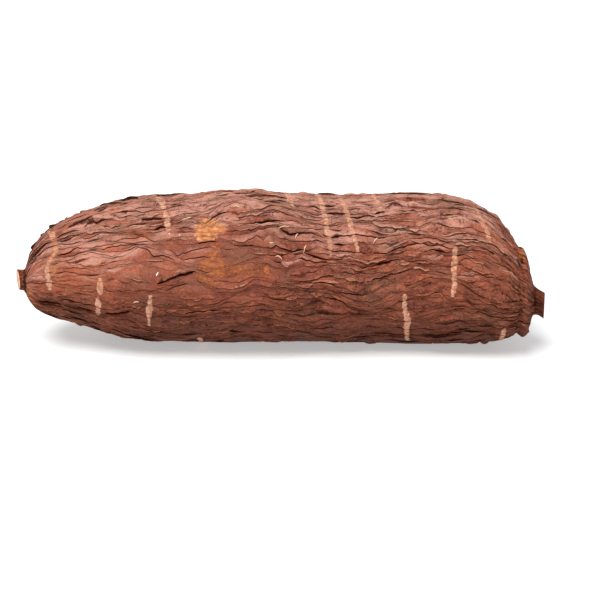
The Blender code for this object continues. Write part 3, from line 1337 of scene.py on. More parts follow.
    def write_fields(self, mesh: bpy.types.Mesh) -> None:
        """Stores the fields that the finish reads on the mesh's points.

        Args:
            mesh: the skin's mesh, whose bark points come first.
        """
        total = len(mesh.vertices)
        bark = self.RINGS * self.around
        for name in ("crack_and_shade", "rim", "scar_mm", "rub", "wear", "calm"):
            values = np.full(total, self.FAR if name in ("scar_mm", "rub") else 0.0)
            values[:bark] = self.fields[name].reshape(-1)
            store(mesh, name, values)
        strips = range(self.lines)
        by_strip = noise_columns(self.along, NoiseStart.STRIP_TONE, strips, self.STRIP_TONE_LENGTH)
        by_plate = noise_columns(
            self.along, NoiseStart.PLATE_TONE, range(self.crevices.count), self.PLATE_TONE_LENGTH
        )
        by_strip = by_strip + self.PLATE_TONE * np.repeat(by_plate, self.STRIPS, axis=1)
        tone = np.zeros(total)
        by_point = np.repeat(by_strip, self.COLUMNS_PER_STRIP, axis=1) + self.tint_field(self.angles)
        tone[:bark] = by_point.reshape(-1)
        store(mesh, "tone", tone)
        grain = np.zeros((total, 3))
        turn = self.fields["grain"].reshape(-1)
        girth = self.form.radius / MM
        grain[:bark, 0] = np.repeat(self.along / MM, self.around)
        grain[:bark, 1] = girth * np.cos(turn)
        grain[:bark, 2] = girth * np.sin(turn)
        store(mesh, "grain", grain)


@dataclass(frozen=True)
class BoldFlake:
    """A flake that stands out on the root, in millimetres and degrees from the top.

    The peak is the share of its length at which it reaches farthest, and the shade is how dark
    its underside is.
    """

    place: float
    angle: float
    length: float
    reach: float
    lift: float
    side: PlateSide
    tone: float = -0.2
    peak: float = 0.5
    shade: float = 0.6


BOLD_FLAKES = (
    BoldFlake(51.5, -9, 9, 1.6, 1.5, PlateSide.BEFORE, -0.8),
    BoldFlake(45, -5, 8, 1.4, 0.8, PlateSide.BEFORE),
    BoldFlake(7.6, 2, 4.2, 1.1, 1.3, PlateSide.BEFORE, -0.5, 0.22, 0.3),
    BoldFlake(11.6, -6, 4, 1.1, 1.3, PlateSide.BEFORE, -0.3, 0.25, 0.3),
    BoldFlake(15.4, -10, 5, 1.2, 1.5, PlateSide.BEFORE, -0.7, 0.28, 0.35),
    BoldFlake(21.5, -14, 4.5, 1.1, 1.2, PlateSide.BEFORE, -0.5, 0.7, 0.3),
    BoldFlake(30, -16, 6, 1.1, 0.9, PlateSide.BEFORE, -0.2, 0.3, 0.3),
    BoldFlake(80, 14, 9, 1.2, 0.5, PlateSide.AFTER),
    BoldFlake(118, 8, 8, 1.1, 0.5, PlateSide.AFTER),
    BoldFlake(203, -6, 11, 2.0, 0.9, PlateSide.AFTER),
    BoldFlake(231, -8, 9, 1.8, 0.9, PlateSide.AFTER),
)


@dataclass(frozen=True)
class Flake:
    """One thin flake of bark, still held along one side."""

    line: int
    side: PlateSide
    ring: int
    rings: int
    reach: float
    lift: float
    tone: float
    torn: float
    shade: float
    peak: float = 0.5


@dataclass(frozen=True)
class Peeling:
    """How a stretch of the bark peels: the share of its flakes that is passed over, the shares of
    the usual reach and lift, and how dark the flakes are underneath."""

    passed_over: float
    reach: float
    lift: float
    shade: float


class Stretch(Enum):
    """The stretches of the root that peel in their own way."""

    QUIET_FRONT = Peeling(0.72, 0.65, 0.55, 0.6)
    CROWN = Peeling(0.0, 1.0, 0.75, 0.34)
    LOW_FRONT = Peeling(0.0, 1.0, 1.0, 0.6)
    REST = Peeling(0.35, 1.0, 1.0, 0.6)

    @classmethod
    def at(cls, x: float, angle: float) -> "Stretch":
        """Finds the stretch that a place belongs to.

        Args:
            x: metres along the root.
            angle: degrees round it, from -180 to 180.

        Returns:
            The stretch.
        """
        if 38 < angle < 96 and x < 128 * MM:
            return cls.QUIET_FRONT
        if -60 < angle < 36:
            return cls.CROWN
        if angle > 98 and x < 95 * MM:
            return cls.LOW_FRONT
        return cls.REST


class PeelingFlakes:
    """Thin flakes that peel off the plates' edges and hang over the crevices, as one mesh."""

    NAME = "peeling_flakes"
    SEED = 23
    COUNT = 1850
    THICKNESS = 0.16 * MM
    SUNK = 0.22 * MM
    EDGE_LINE = 0.5 * MM
    LEAST_HEIGHT = 5 * MM
    SHARP_EDGE = math.radians(50)

    # Where a flake may start and how long it is, in millimetres where no unit is given
    SHORT = (5, 10)
    LONG = (10, 18)
    SHORT_SHARE = 0.72
    END_MARGINS = (4 * MM, 6 * MM)
    FIRST_RING = 3
    FEWEST_RINGS = 6
    SCAR_MARGIN = 0.4
    RUB_MARGIN = 0.95  # share of a rubbed patch

    # Sizes: the least, what chance adds, and the power that makes large ones rare
    REACH = (0.6, 1.5, 1.5)
    LIFT = (0.26, 1.0, 1.8)
    SMALL = (0.35, 0.65)  # where the root is thin, and what its full girth adds
    HIGHER_BY = (0.25, 0.35)  # millimetres by which the upper plate wins, and their spread
    TORN = (0.5, 0.85, 1.0)
    BOLD_TORN = 0.3
    TONE_SPREAD = 0.5

    # The outline along a flake: the noises' shares and lengths, and the limits of both together
    RAG = (0.6, 2.6 * MM)
    NICK = (0.5, 1.4 * MM)
    RAG_LIMITS = (0.45, 1.45)
    LIFT_RAG = (0.6, 4 * MM)
    SPIKE_POWER = 1.8  # narrows a flake whose peak is off its middle

    # Rows across a flake, from the held edge to the lip and its underside
    ROWS = 5
    HELD_AT = 0.45  # from the plate's edge to the skin behind it
    BEND_RISE = 0.3  # share of the lift, as is the next one
    NEAR_RISE = 0.93
    NEAR_REACH = 0.4  # least share of the reach
    UNDER_REACH = 0.94
    LEAST_RISE = 0.05 * MM
    # Share of painted shade on each row: the lip and its underside are shaded
    DARK_ROWS = np.array([0, 0, 0, 1, 1])
    TORN_ROWS = np.array([0, 0.2, 1, 0.5, 0])

    def __init__(self, skin: RootSkin) -> None:
        """Keeps the skin that the flakes peel from.

        Args:
            skin: the skin, with its points already worked out.
        """
        self.skin = skin
        self.draw = random.Random(self.SEED)
        self.points = np.zeros((0, 3))
        self.count = 0
        self.faces: list[list[int]] = []
        self.fields: dict[str, list[np.ndarray]] = {name: [] for name in ("crack_and_shade", "rim", "tone", "grain")}

    def choose(self) -> list[Flake]:
        """Draws where the flakes are, leaving out scars, rubbed patches and the resting spot.

        Returns:
            The flakes.
        """
        skin = self.skin
        draw = self.draw
        flakes = [self.bold(flake) for flake in BOLD_FLAKES]
        while len(flakes) < self.COUNT:
            line = draw.randrange(skin.lines)
            length = draw.uniform(*(self.SHORT if draw.random() < self.SHORT_SHARE else self.LONG))
            place = draw.uniform(self.END_MARGINS[0], float(skin.along[-1]) - self.END_MARGINS[1])
            ring = int(np.searchsorted(skin.along, place))
            last = int(np.searchsorted(skin.along, place + length * MM))
            if last >= skin.RINGS - 2 or last - ring < self.FEWEST_RINGS or ring < self.FIRST_RING:
                continue
            middle = (ring + last) // 2
            x, y, z = skin.rows[middle, :3]
            after = (skin.COLUMNS_PER_STRIP * line + 1) % skin.around
            before = (skin.COLUMNS_PER_STRIP * line - 1) % skin.around
            spot = skin.points[middle, after]
            angle = math.degrees(math.atan2(-(spot[1] - y), spot[2] - z))
            stretch = Stretch.at(x, angle).value
            if spot[2] < self.LEAST_HEIGHT or draw.random() < stretch.passed_over:
                continue
            if skin.opened[ring:last, line].max() > 0 or not self.is_whole(ring, last, after):
                continue
            overhang = draw.gauss(*self.HIGHER_BY) * MM * (-1 if 0 < angle < 180 else 1)
            higher = skin.heights[middle, after] + overhang > skin.heights[middle, before]
            small = self.SMALL[0] + self.SMALL[1] * skin.rows[middle, 3] / skin.form.radius
            lift = small * (self.LIFT[0] + self.LIFT[1] * draw.random() ** self.LIFT[2]) * MM
            reach = small * (self.REACH[0] + self.REACH[1] * draw.random() ** self.REACH[2]) * MM
            flakes.append(Flake(
                line=line,
                side=PlateSide.AFTER if higher else PlateSide.BEFORE,
                ring=ring,
                rings=last - ring,
                reach=reach * stretch.reach,
                lift=lift * stretch.lift,
                tone=draw.gauss(0.0, self.TONE_SPREAD),
                torn=draw.choice(self.TORN),
                shade=stretch.shade,
            ))
        return flakes

    def is_whole(self, ring: int, last: int, column: int) -> bool:
        """Tells whether a column of the skin runs clear of scars and rubbed patches.

        Args:
            ring: the first ring.
            last: the ring after the last one.
            column: the column.

        Returns:
            True where the bark is whole.
        """
        fields = self.skin.fields
        scar = fields["scar_mm"][ring:last, column].min()
        rub = fields["rub"][ring:last, column].min()
        return bool(scar >= self.SCAR_MARGIN and rub >= self.RUB_MARGIN)

    def bold(self, wanted: BoldFlake) -> Flake:
        """Finds the crevice that a flake with a set place hangs over.

        Args:
            wanted: the flake's place and size.

        Returns:
            The flake.
        """
        skin = self.skin
        ring = int(np.searchsorted(skin.x, wanted.place))
        last = int(np.searchsorted(skin.x, wanted.place + wanted.length))
        lines = np.degrees(skin.angles[(ring + last) // 2, skin.BOTTOMS])
        return Flake(
            line=int(np.argmin(np.abs(within_half_turn(lines - wanted.angle, DEGREES)))),
            side=wanted.side,
            ring=ring,
            rings=last - ring,
            reach=wanted.reach * MM,
            lift=wanted.lift * MM,
            tone=wanted.tone,
            torn=self.BOLD_TORN,
            shade=wanted.shade,
            peak=wanted.peak,
        )

    def add(self, flake: Flake, number: int) -> np.ndarray:
        """Builds one flake as a closed curled strip.

        Args:
            flake: where it is and how it curls.
            number: which flake it is.

        Returns:
            Its points, one row after another.
        """
        skin = self.skin
        rings = np.arange(flake.ring, flake.ring + flake.rings)
        side = flake.side.value
        bottom = skin.COLUMNS_PER_STRIP * flake.line
        edge = (bottom + side) % skin.around
        at_edge = skin.points[rings, edge]
        inside = skin.points[rings, (bottom + 2 * side) % skin.around]
        normal = skin.normals[rings, edge]
        beyond = skin.heights[rings, (bottom - side) % skin.around]
        climb = np.maximum(beyond - skin.heights[rings, edge], 0.0)
        angle = skin.angles[rings, edge]
        lateral = side * np.stack([np.zeros_like(angle), np.cos(angle), np.sin(angle)], axis=-1)
        u = np.linspace(0.0, 1.0, flake.rings)
        full = np.sin(math.pi * np.clip(u ** (math.log(0.5) / math.log(flake.peak)), 0.03, 0.97))
        full = full ** (1.0 if flake.peak == 0.5 else self.SPIKE_POWER)
        along = skin.along[rings]
        rag = self.RAG[0] * noise_along(along, NoiseStart.FLAKE_RAG + number, self.RAG[1])
        nick = self.NICK[0] * noise_along(along, NoiseStart.FLAKE_NICK + number, self.NICK[1])
        sway = self.LIFT_RAG[0] * noise_along(along, NoiseStart.FLAKE_LIFT + number, self.LIFT_RAG[1])
        reach = flake.reach * full ** 0.5 * np.clip(1 + rag + nick, *self.RAG_LIMITS)
        lift = flake.lift * full ** 0.8 * (1 + sway)
        lift += climb * full ** 0.3
        padded = np.vstack([at_edge[:1], at_edge, at_edge[-1:]])
        eased = 0.2 * padded[:-2] + 0.6 * padded[1:-1] + 0.2 * padded[2:]
        near = np.maximum(reach - self.EDGE_LINE, self.NEAR_REACH * reach)
        rows = np.stack([
            inside * self.HELD_AT + at_edge * (1 - self.HELD_AT) - normal * self.SUNK,
            at_edge + normal * (self.LEAST_RISE + self.BEND_RISE * lift)[:, None],
            eased + lateral * near[:, None] + normal * (self.NEAR_RISE * lift)[:, None],
            eased + lateral * reach[:, None] + normal * lift[:, None],
            eased + lateral * (self.UNDER_REACH * reach)[:, None] + normal * (lift - self.THICKNESS)[:, None],
        ], axis=1)
        self.faces += closed_tube(self.count, flake.rings, self.ROWS, side)
        self.count += flake.rings * self.ROWS
        # Painted shade on each flake's lip and underside, in the same field as the crevices' darkness
        self.fields["crack_and_shade"].append(np.tile(self.DARK_ROWS * flake.shade, flake.rings))
        self.fields["rim"].append(np.tile(self.TORN_ROWS * flake.torn, flake.rings))
        self.fields["tone"].append(np.full(flake.rings * self.ROWS, flake.tone))
        girth = skin.form.radius / MM
        turn = skin.fields["grain"][rings, edge]
        lip = turn - side * reach / MM / girth
        turns = np.stack([turn, turn, turn - side * near / MM / girth, lip, lip], axis=1)
        grain = np.stack([
            np.repeat((along / MM)[:, None], self.ROWS, axis=1),
            girth * np.cos(turns),
            girth * np.sin(turns),
        ], axis=-1)
        self.fields["grain"].append(grain.reshape(-1, 3))
        return rows.reshape(-1, 3)

    def shape(self) -> None:
        """Works out every flake's points and faces."""
        self.points = np.vstack([self.add(flake, number) for number, flake in enumerate(self.choose())])

    def build(self, fit: BoxFit) -> bpy.types.Object:
        """Makes the mesh.

        Args:
            fit: moves the points to the frame's place.

        Returns:
            The flakes' object.
        """
        flakes = add_object(self.NAME, fit.apply(self.points), self.faces)
        mesh = flakes.data
        for name, values in self.fields.items():
            store(mesh, name, np.concatenate(values))
        for name in ("scar_mm", "rub", "wear"):
            store(mesh, name, np.full(len(mesh.vertices), self.skin.FAR))
        mesh.shade_smooth()
        mesh.set_sharp_from_angle(angle=self.SHARP_EDGE)
        return flakes


@dataclass(frozen=True)
class Fibre:
    """A loose root fibre that lies on the bark, in millimetres and degrees from the top."""

    place: float
    angle: float
    length: float
    lean: float
    curl: float


FIBRES = (
    Fibre(132, 40, 5.5, 18, 0.5),
    Fibre(129.5, 63, 3.5, -20, 1.2),
    Fibre(138, 46, 3.0, 62, 0.8),
    Fibre(126, 52, 2.5, 8, -0.6),
    Fibre(142, 55, 4.0, 70, 0.7),
    Fibre(109, 24, 3.0, -12, 0.9),
    Fibre(85, 30, 5.0, 4, 0.4),
    Fibre(176, 47, 3.5, 48, 0.9),
    Fibre(61, 96, 3.0, 12, 0.6),
    Fibre(24, 66, 2.8, 74, 0.7),
    Fibre(92, 172, 4.5, 25, 0.9),
    Fibre(150, 240, 4.0, -35, 0.8),
    Fibre(205, 148, 3.5, 60, 0.6),
    Fibre(60, 250, 4.0, 15, 1.0),
    Fibre(222, 284, 3.5, -50, 0.7),
)

# White flecks of dried starch
FLECKS = (
    Fibre(71.5, 73, 2.2, 60, 0.1),
    Fibre(51, 52, 1.2, 30, 0.1),
    Fibre(32, 60, 0.9, 0, 0.1),
    Fibre(33.5, 62, 0.8, 80, 0.1),
    Fibre(39, 66, 0.8, 50, 0.1),
    Fibre(77, 42, 0.9, 40, 0.1),
    Fibre(82, 44, 1.0, 20, 0.1),
    Fibre(120, 200, 1.0, 10, 0.1),
)

# Half the thickness of a fibre and of a fleck
FIBRE_THICKNESS = 0.30 * MM
FLECK_THICKNESS = 0.32 * MM


class LooseBits:
    """Small loose bits on the bark, each a thin bent rod, as one mesh."""

    SIDES = 6
    STEPS = 8
    RESTS_ON = range(-2, 3)  # columns of the skin beside a bit that may carry it
    LAID = 0.6  # share of the thickness by which a bit stands off the skin
    END_RISE = 0.25  # share of its length by which a curled bit's ends rise
    THIN_ENDS = 0.15

    def __init__(self, name: str, bits: tuple[Fibre, ...], thickness: float, skin: RootSkin) -> None:
        """Keeps what the bits are and the skin they lie on.

        Args:
            name: the mesh's name.
            bits: where each bit lies and how it bends.
            thickness: half the rod's thickness at its middle.
            skin: the skin, with its points already worked out.
        """
        self.name = name
        self.bits = bits
        self.thickness = thickness
        self.skin = skin
        self.points = np.zeros((0, 3))
        self.faces: list[list[int]] = []

    def place_on(self, x: float, angle: float) -> tuple[np.ndarray, np.ndarray]:
        """Finds the skin's nearest point at a place.

        Args:
            x: metres along the root from the thin end.
            angle: radians round it from the top.

        Returns:
            The point and the way outward there.
        """
        skin = self.skin
        ring = int(np.argmin(np.abs(skin.rows[:, 0] - x)))
        column = int(np.argmin(np.abs(within_half_turn(skin.angles[ring] - angle, TURN))))
        beside = [skin.points[ring, (column + step) % skin.around] for step in self.RESTS_ON]
        outward = skin.normals[ring, column]
        middle = skin.rows[ring, :3]
        height = max(float(np.dot(point - middle, outward)) for point in beside)
        point = middle + np.array([0.0, -math.sin(angle), math.cos(angle)]) * height
        point[0] = x
        return point, outward

    def shape(self) -> None:
        """Works out every bit's points and faces."""
        clouds = []
        turns = (TURN * np.arange(self.SIDES) / self.SIDES)[:, None]
        for number, bit in enumerate(self.bits):
            place = bit.place * MM
            length = bit.length * MM
            lean = math.radians(bit.lean)
            radius = float(np.interp(place, self.skin.rows[:, 0], self.skin.rows[:, 3]))
            for step in range(self.STEPS + 1):
                t = step / self.STEPS - 0.5
                along = length * t * math.cos(lean)
                aside = length * t * math.sin(lean) + bit.curl * length * (0.25 - t * t)
                point, outward = self.place_on(place + along, math.radians(bit.angle) - aside / radius)
                rise = self.LAID * self.thickness + self.END_RISE * length * abs(bit.curl) * t * t
                thick = self.thickness * max(1 - (2 * abs(t)) ** 3, self.THIN_ENDS)
                travel = math.sin(lean) * np.cross(outward, [1.0, 0.0, 0.0])
                travel[0] += math.cos(lean)
                across = np.cross(outward, travel / np.linalg.norm(travel))
                circle = np.cos(turns) * across + np.sin(turns) * outward
                clouds.append(point + outward * rise + thick * circle)
            rings = self.STEPS + 1
            self.faces += closed_tube(number * rings * self.SIDES, rings, self.SIDES)
        self.points = np.vstack(clouds)

    def build(self, fit: BoxFit) -> bpy.types.Object:
        """Makes the mesh.

        Args:
            fit: moves the points to the frame's place.

        Returns:
            The bits' object.
        """
        bits = add_object(self.name, fit.apply(self.points), self.faces)
        bits.data.shade_smooth()
        return bits


def start_material(name: str) -> tuple[bpy.types.Material, Tree, bpy.types.Node]:
    """Starts a node material.

    Args:
        name: what the material is.

    Returns:
        The material, its node tree and its shader.
    """
    material = bpy.data.materials.new(name)
    material.use_nodes = True
    return material, material.node_tree, material.node_tree.nodes["Principled BSDF"]


def combine(tree: Tree, source: Socket, share: float | Socket, onto: float | Socket) -> Socket:
    """Adds a share of one value to another.

    Args:
        tree: the material's node tree.
        source: the value that is added.
        share: how much of it.
        onto: what it is added to.

    Returns:
        The sum.
    """
    return add_node(tree, "Math", {"operation": "MULTIPLY_ADD"}, {
        0: source, 1: share, 2: onto,
    }).outputs["Value"]


def cover(
    tree: Tree, under: Paint, source: Socket, nothing: float, all_of_it: float, most: float, over: Paint
) -> Socket:
    """Lays a colour over another where a value is high enough.

    Args:
        tree: the material's node tree.
        under: the colour below.
        source: the value that decides.
        nothing: the value at which nothing is covered.
        all_of_it: the value at which most is covered.
        most: the largest share that is covered.
        over: the colour on top.

    Returns:
        The mixed colour.
    """
    amount = add_node(tree, "MapRange", inputs={
        "Value": source, "From Min": nothing, "From Max": all_of_it, "To Min": 0.0, "To Max": most,
    }).outputs["Result"]
    below, above = (linear(paint) if isinstance(paint, str) else paint for paint in (under, over))
    return add_node(tree, "Mix", {"data_type": "RGBA"}, {
        "Factor": amount, 6: below, 7: above,
    }).outputs[2]


def along_grain(tree: Tree, grain: Socket, length_mm: float, width_mm: float) -> Socket:
    """Adds noise that is drawn out along the root.

    Args:
        tree: the material's node tree.
        grain: the place on the skin in millimetres, that follows the crevices.
        length_mm: the length of its bumps.
        width_mm: their width.

    Returns:
        The noise, from 0 to 1.
    """
    stretched = add_node(tree, "Mapping", inputs={
        "Vector": grain, "Scale": (1 / length_mm, 1 / width_mm, 1 / width_mm),
    }).outputs["Vector"]
    return add_node(tree, "TexNoise", inputs={
        "Vector": stretched, "Scale": 1.0, "Detail": 4.0, "Roughness": 0.62,
    }).outputs["Fac"]


def evenly(tree: Tree, place: Socket, size_mm: float) -> Socket:
    """Adds noise that is the same in every direction.

    Args:
        tree: the material's node tree.
        place: the place in metres.
        size_mm: the size of its bumps.

    Returns:
        The noise, from 0 to 1.
    """
    return add_node(tree, "TexNoise", inputs={
        "Vector": place, "Scale": 1000 / size_mm, "Detail": 4.0, "Roughness": 0.6,
    }).outputs["Fac"]


def two_tones(name: str, light: str, dark: str, size_mm: float, roughness: float) -> bpy.types.Material:
    """Builds a plain material that wavers between two close colours.

    Args:
        name: what the material is.
        light: one colour, as a hex value.
        dark: the other.
        size_mm: the size of the noise between them.
        roughness: the surface's roughness.

    Returns:
        The material.
    """
    material, tree, shader = start_material(name)
    place = add_node(tree, "TexCoord").outputs["Object"]
    cloud = add_node(tree, "TexNoise", inputs={
        "Vector": place, "Scale": 1000 / size_mm, "Detail": 2.0,
    }).outputs["Fac"]
    colour = add_node(tree, "Mix", {"data_type": "RGBA"}, {
        "Factor": cloud, 6: linear(light), 7: linear(dark),
    }).outputs[2]
    tree.links.new(colour, shader.inputs["Base Color"])
    shader.inputs["Roughness"].default_value = roughness
    return material


@dataclass(frozen=True)
class BarkFinish:
    """Suberised cassava bark, grown in layers that dry and split.

    It shows as dull red-brown plates with a greyish bloom, dark crevices, orange torn rims, and
    pale cork where the scars break through. A sheen and highlights on the plates' edges are painted
    towards the top, and painted shade deepens the crevices and darkens the bark towards the ground.
    """

    red: str = "#a95d41"
    brown: str = "#7f4535"
    # Greyish bloom, also painted as a sheen that grows towards the top
    bloom_and_sheen: str = "#ca9584"
    torn: str = "#b3673a"
    # Painted highlight on the plates' torn edges
    edge: str = "#d0a08a"
    # The crevices' own dark colour, also laid on as painted shade in the crevices and under the flakes
    crevice: str = "#3c1307"
    # Dark brown for the painted shade towards the ground, and for the film of bark left on rubbed patches
    stain: str = "#43231b"
    cork: str = "#d6a48b"
    cork_shade: str = "#ad6c48"
    ochre: str = "#d69767"
    dull_ochre: str = "#7b3c12"
    dust: str = "#6f5746"
    plate_roughness: float = 0.55
    crack_roughness: float = 0.9
    ior: float = 1.45
    specular: float = 0.10
    bump_strength: float = 0.8
    bump_mm: float = 0.7

    # Sizes of the patterns. Real streaks and films are 0.2 to 0.4 mm wide and real grit is about
    # 0.3 mm, so these three are drawn coarser, to show at a distance.
    streak_length_mm: float = 6.0
    streak_width_mm: float = 0.55
    film_length_mm: float = 5.0
    film_width_mm: float = 0.9
    grit_mm: float = 0.8
    split_length_mm: float = 13.0
    split_width_mm: float = 1.7
    cross_length_mm: float = 8.0
    cross_width_mm: float = 3.4
    sheet_length_mm: float = 26.0
    sheet_width_mm: float = 4.08
    dust_mm: float = 15.0
    mottle_mm: float = 7.0
    rag_mm: float = 1.5

    # Millimetres from the thin end over which the streaks grow to full strength
    streaks_from_mm: tuple[float, float] = (8.0, 46.0)
    least_streaks: float = 0.45
    calm_streaks: float = 0.5

    # Heights over which painted light makes the bark paler towards the top, and over which painted shade
    # darkens it towards the ground
    top_light_from: tuple[float, float] = (34 * MM, 72 * MM)
    top_light_shift: tuple[float, float] = (-0.13, 0.17)
    ground_shade_from: tuple[float, float] = (52 * MM, 18 * MM)

    def material(self) -> bpy.types.Material:
        """Builds the bark's node material.

        Returns:
            The material.
        """
        material, tree, shader = start_material("suberised_bark")
        grain = add_node(tree, "Attribute", {"attribute_name": "grain"}).outputs["Vector"]
        place = add_node(tree, "TexCoord").outputs["Object"]
        crack_and_shade, rim, tone, scar, rub, wear, calm = (
            add_node(tree, "Attribute", {"attribute_name": name}).outputs["Fac"]
            for name in ("crack_and_shade", "rim", "tone", "scar_mm", "rub", "wear", "calm")
        )
        streak = self.streaks(tree, grain, calm)
        sheet = along_grain(tree, grain, self.sheet_length_mm, self.sheet_width_mm)
        film = along_grain(tree, grain, self.film_length_mm, self.film_width_mm)
        mottle = evenly(tree, place, self.mottle_mm)
        rag = evenly(tree, place, self.rag_mm)
        grit = evenly(tree, place, self.grit_mm)
        broken = self.hairlines(tree, grain, mottle, calm)
        height = add_node(tree, "SeparateXYZ", inputs={"Vector": place}).outputs["Z"]
        # Painted light: the bark grows paler towards the top and a little darker towards the ground
        painted_top_light = add_node(tree, "MapRange", inputs={
            "Value": height, "From Min": self.top_light_from[0], "From Max": self.top_light_from[1],
            "To Min": self.top_light_shift[0], "To Max": self.top_light_shift[1],
        }).outputs["Result"]
        warm = combine(tree, tone, 0.16, mottle)
        # Bloom by tone and sheet noise, with a painted sheen that grows with height
        bloom_and_sheen_at = combine(tree, tone, 0.10, combine(tree, painted_top_light, 1.0, sheet))
        dust_at = combine(tree, streak, 0.25, evenly(tree, place, self.dust_mm))
        # Painted shade towards the ground, with an uneven border
        ground_shade_at = combine(tree, mottle, 14 * MM, height)
        # Painted highlight on the torn plate edges, stronger towards the top
        edge_highlight_at = combine(tree, painted_top_light, 2.2, rim)
        scar_at = combine(tree, sheet, 3.0, combine(tree, rag, 1.9, scar))
        # Crevice darkness with its painted shade, broken up by noise
        crack_and_shade_at = combine(tree, rag, -0.5, combine(tree, streak, -0.35, crack_and_shade))
        speckle = combine(tree, streak, 0.6, rag)

        # Outside the rubbed patches, the wear field holds the scars' stain
        cork = cover(tree, self.cork, speckle, 0.70, 0.92, 0.9, self.cork_shade)
        cork = cover(tree, cork, wear, 0.0, 1.0, 0.55, self.torn)
        ochre = cover(tree, self.dull_ochre, wear, 0.62, 0.95, 1.0, self.ochre)
        ochre = cover(tree, ochre, speckle, 0.64, 0.90, 0.95, self.torn)
        ochre = cover(tree, ochre, film, 0.43, 0.28, 0.7, self.stain)
        bare = self.bare_bark(tree, combine(tree, speckle, 1.2, rub), film, rag, wear)

        # Each row holds what decides, where nothing and where most is covered, how much that is,
        # and the colour
        colour: Paint = self.brown
        for source, nothing, all_of_it, most, layer in (
            (warm, 0.25, 0.75, 1.0, self.red),
            # Bloom, with a painted sheen towards the top
            (bloom_and_sheen_at, 0.50, 0.70, 0.65, self.bloom_and_sheen),
            (dust_at, 0.62, 0.78, 0.38, self.dust),
            (grit, 0.57, 0.74, 0.45, self.bloom_and_sheen),
            (grit, 0.42, 0.24, 0.45, self.crevice),
            (streak, 0.56, 0.70, 0.45, self.torn),
            (streak, 0.45, 0.31, 0.75, self.crevice),
            (broken, -0.012, -0.026, 0.8, self.crevice),
            # Painted shade towards the ground
            (ground_shade_at, *self.ground_shade_from, 0.72, self.stain),
            (bare, 0.0, 1.0, 0.92, ochre),
            (rim, 0.62, 1.0, 0.65, self.torn),
            # Painted highlight on the plates' edges
            (edge_highlight_at, 0.55, 1.1, 0.5, self.edge),
            (scar_at, 2.60, 2.36, 0.92, cork),
            # The crevices' dark colour and their painted shade
            (crack_and_shade_at, -0.20, 0.02, 0.95, self.crevice),
        ):
            colour = cover(tree, colour, source, nothing, all_of_it, most, layer)
        tree.links.new(colour, shader.inputs["Base Color"])
        rough = add_node(tree, "MapRange", inputs={
            "Value": crack_and_shade, "To Min": self.plate_roughness, "To Max": self.crack_roughness,
        }).outputs["Result"]
        tree.links.new(rough, shader.inputs["Roughness"])
        shader.inputs["IOR"].default_value = self.ior
        shader.inputs["Specular IOR Level"].default_value = self.specular
        groove = add_node(tree, "MapRange", inputs={
            "Value": broken, "From Min": -0.03, "From Max": 0.02, "To Min": -0.5, "To Max": 0.0,
        }).outputs["Result"]
        fine = combine(tree, rag, 0.8, combine(tree, grit, 0.35, combine(tree, groove, 1.0, streak)))
        bump = add_node(tree, "Bump", inputs={
            "Strength": self.bump_strength, "Distance": self.bump_mm * MM, "Height": fine,
        }).outputs["Normal"]
        tree.links.new(bump, shader.inputs["Normal"])
        return material

    def streaks(self, tree: Tree, grain: Socket, calm: Socket) -> Socket:
        """Adds fine streaks that fade towards the thin end and where the bark is calm.

        Args:
            tree: the material's node tree.
            grain: the place on the skin in millimetres, that follows the crevices.
            calm: 1 where the bark is smooth and 0 elsewhere.

        Returns:
            The streaks, from 0 to 1, or nearer to a half where they are faint.
        """
        along = add_node(tree, "SeparateXYZ", inputs={"Vector": grain}).outputs["X"]
        strength = add_node(tree, "Math", {"operation": "MULTIPLY"}, {
            0: add_node(tree, "MapRange", inputs={
                "Value": along, "From Min": self.streaks_from_mm[0], "From Max": self.streaks_from_mm[1],
                "To Min": self.least_streaks, "To Max": 1.0,
            }).outputs["Result"],
            1: add_node(tree, "MapRange", inputs={
                "Value": calm, "To Min": 1.0, "To Max": self.calm_streaks,
            }).outputs["Result"],
        }).outputs["Value"]
        noise_there = along_grain(tree, grain, self.streak_length_mm, self.streak_width_mm)
        return combine(tree, noise_there, strength, combine(tree, strength, -0.5, 0.5))

    def hairlines(self, tree: Tree, grain: Socket, mottle: Socket, calm: Socket) -> Socket:
        """Adds thin breaks in the plates, along the grain and across each other.

        Args:
            tree: the material's node tree.
            grain: the place on the skin in millimetres, that follows the crevices.
            mottle: even noise that breaks the lines up.
            calm: 1 where the bark is smooth and 0 elsewhere.

        Returns:
            A value that is below nought in a break.
        """
        lengthwise, slanting = (
            add_node(tree, "Math", {"operation": "ABSOLUTE"}, {
                0: add_node(tree, "Math", {"operation": "SUBTRACT"}, {
                    0: along_grain(tree, grain, length, width), 1: 0.5,
                }).outputs["Value"],
            }).outputs["Value"]
            for length, width in (
                (self.split_length_mm, self.split_width_mm), (self.cross_length_mm, self.cross_width_mm)
            )
        )
        narrower = add_node(tree, "Math", {"operation": "SUBTRACT"}, {0: slanting, 1: 0.06})
        broken = add_node(tree, "Math", {"operation": "MINIMUM"}, {
            0: combine(tree, mottle, -0.05, lengthwise),
            1: combine(tree, mottle, 0.07, narrower.outputs["Value"]),
        }).outputs["Value"]
        return combine(tree, calm, 0.012, broken)

    def bare_bark(self, tree: Tree, rubbed: Socket, film: Socket, rag: Socket, wear: Socket) -> Socket:
        """Tells where the outer bark is rubbed off, with a torn film left on the thinner wear.

        Args:
            tree: the material's node tree.
            rubbed: how far the place lies out of a rubbed patch, made ragged.
            film: streaky noise for the film.
            rag: fine noise for the film's edges.
            wear: the patch's wear.

        Returns:
            1 where it is bare and 0 elsewhere.
        """
        torn_film = combine(tree, film, 2.6, combine(tree, rag, 1.0, wear))
        return add_node(tree, "Math", {"operation": "MULTIPLY"}, {
            0: add_node(tree, "MapRange", inputs={
                "Value": rubbed, "From Min": 1.98, "From Max": 1.80,
            }).outputs["Result"],
            1: add_node(tree, "MapRange", inputs={
                "Value": torn_film, "From Min": 2.25, "From Max": 2.60,
            }).outputs["Result"],
        }).outputs["Value"]


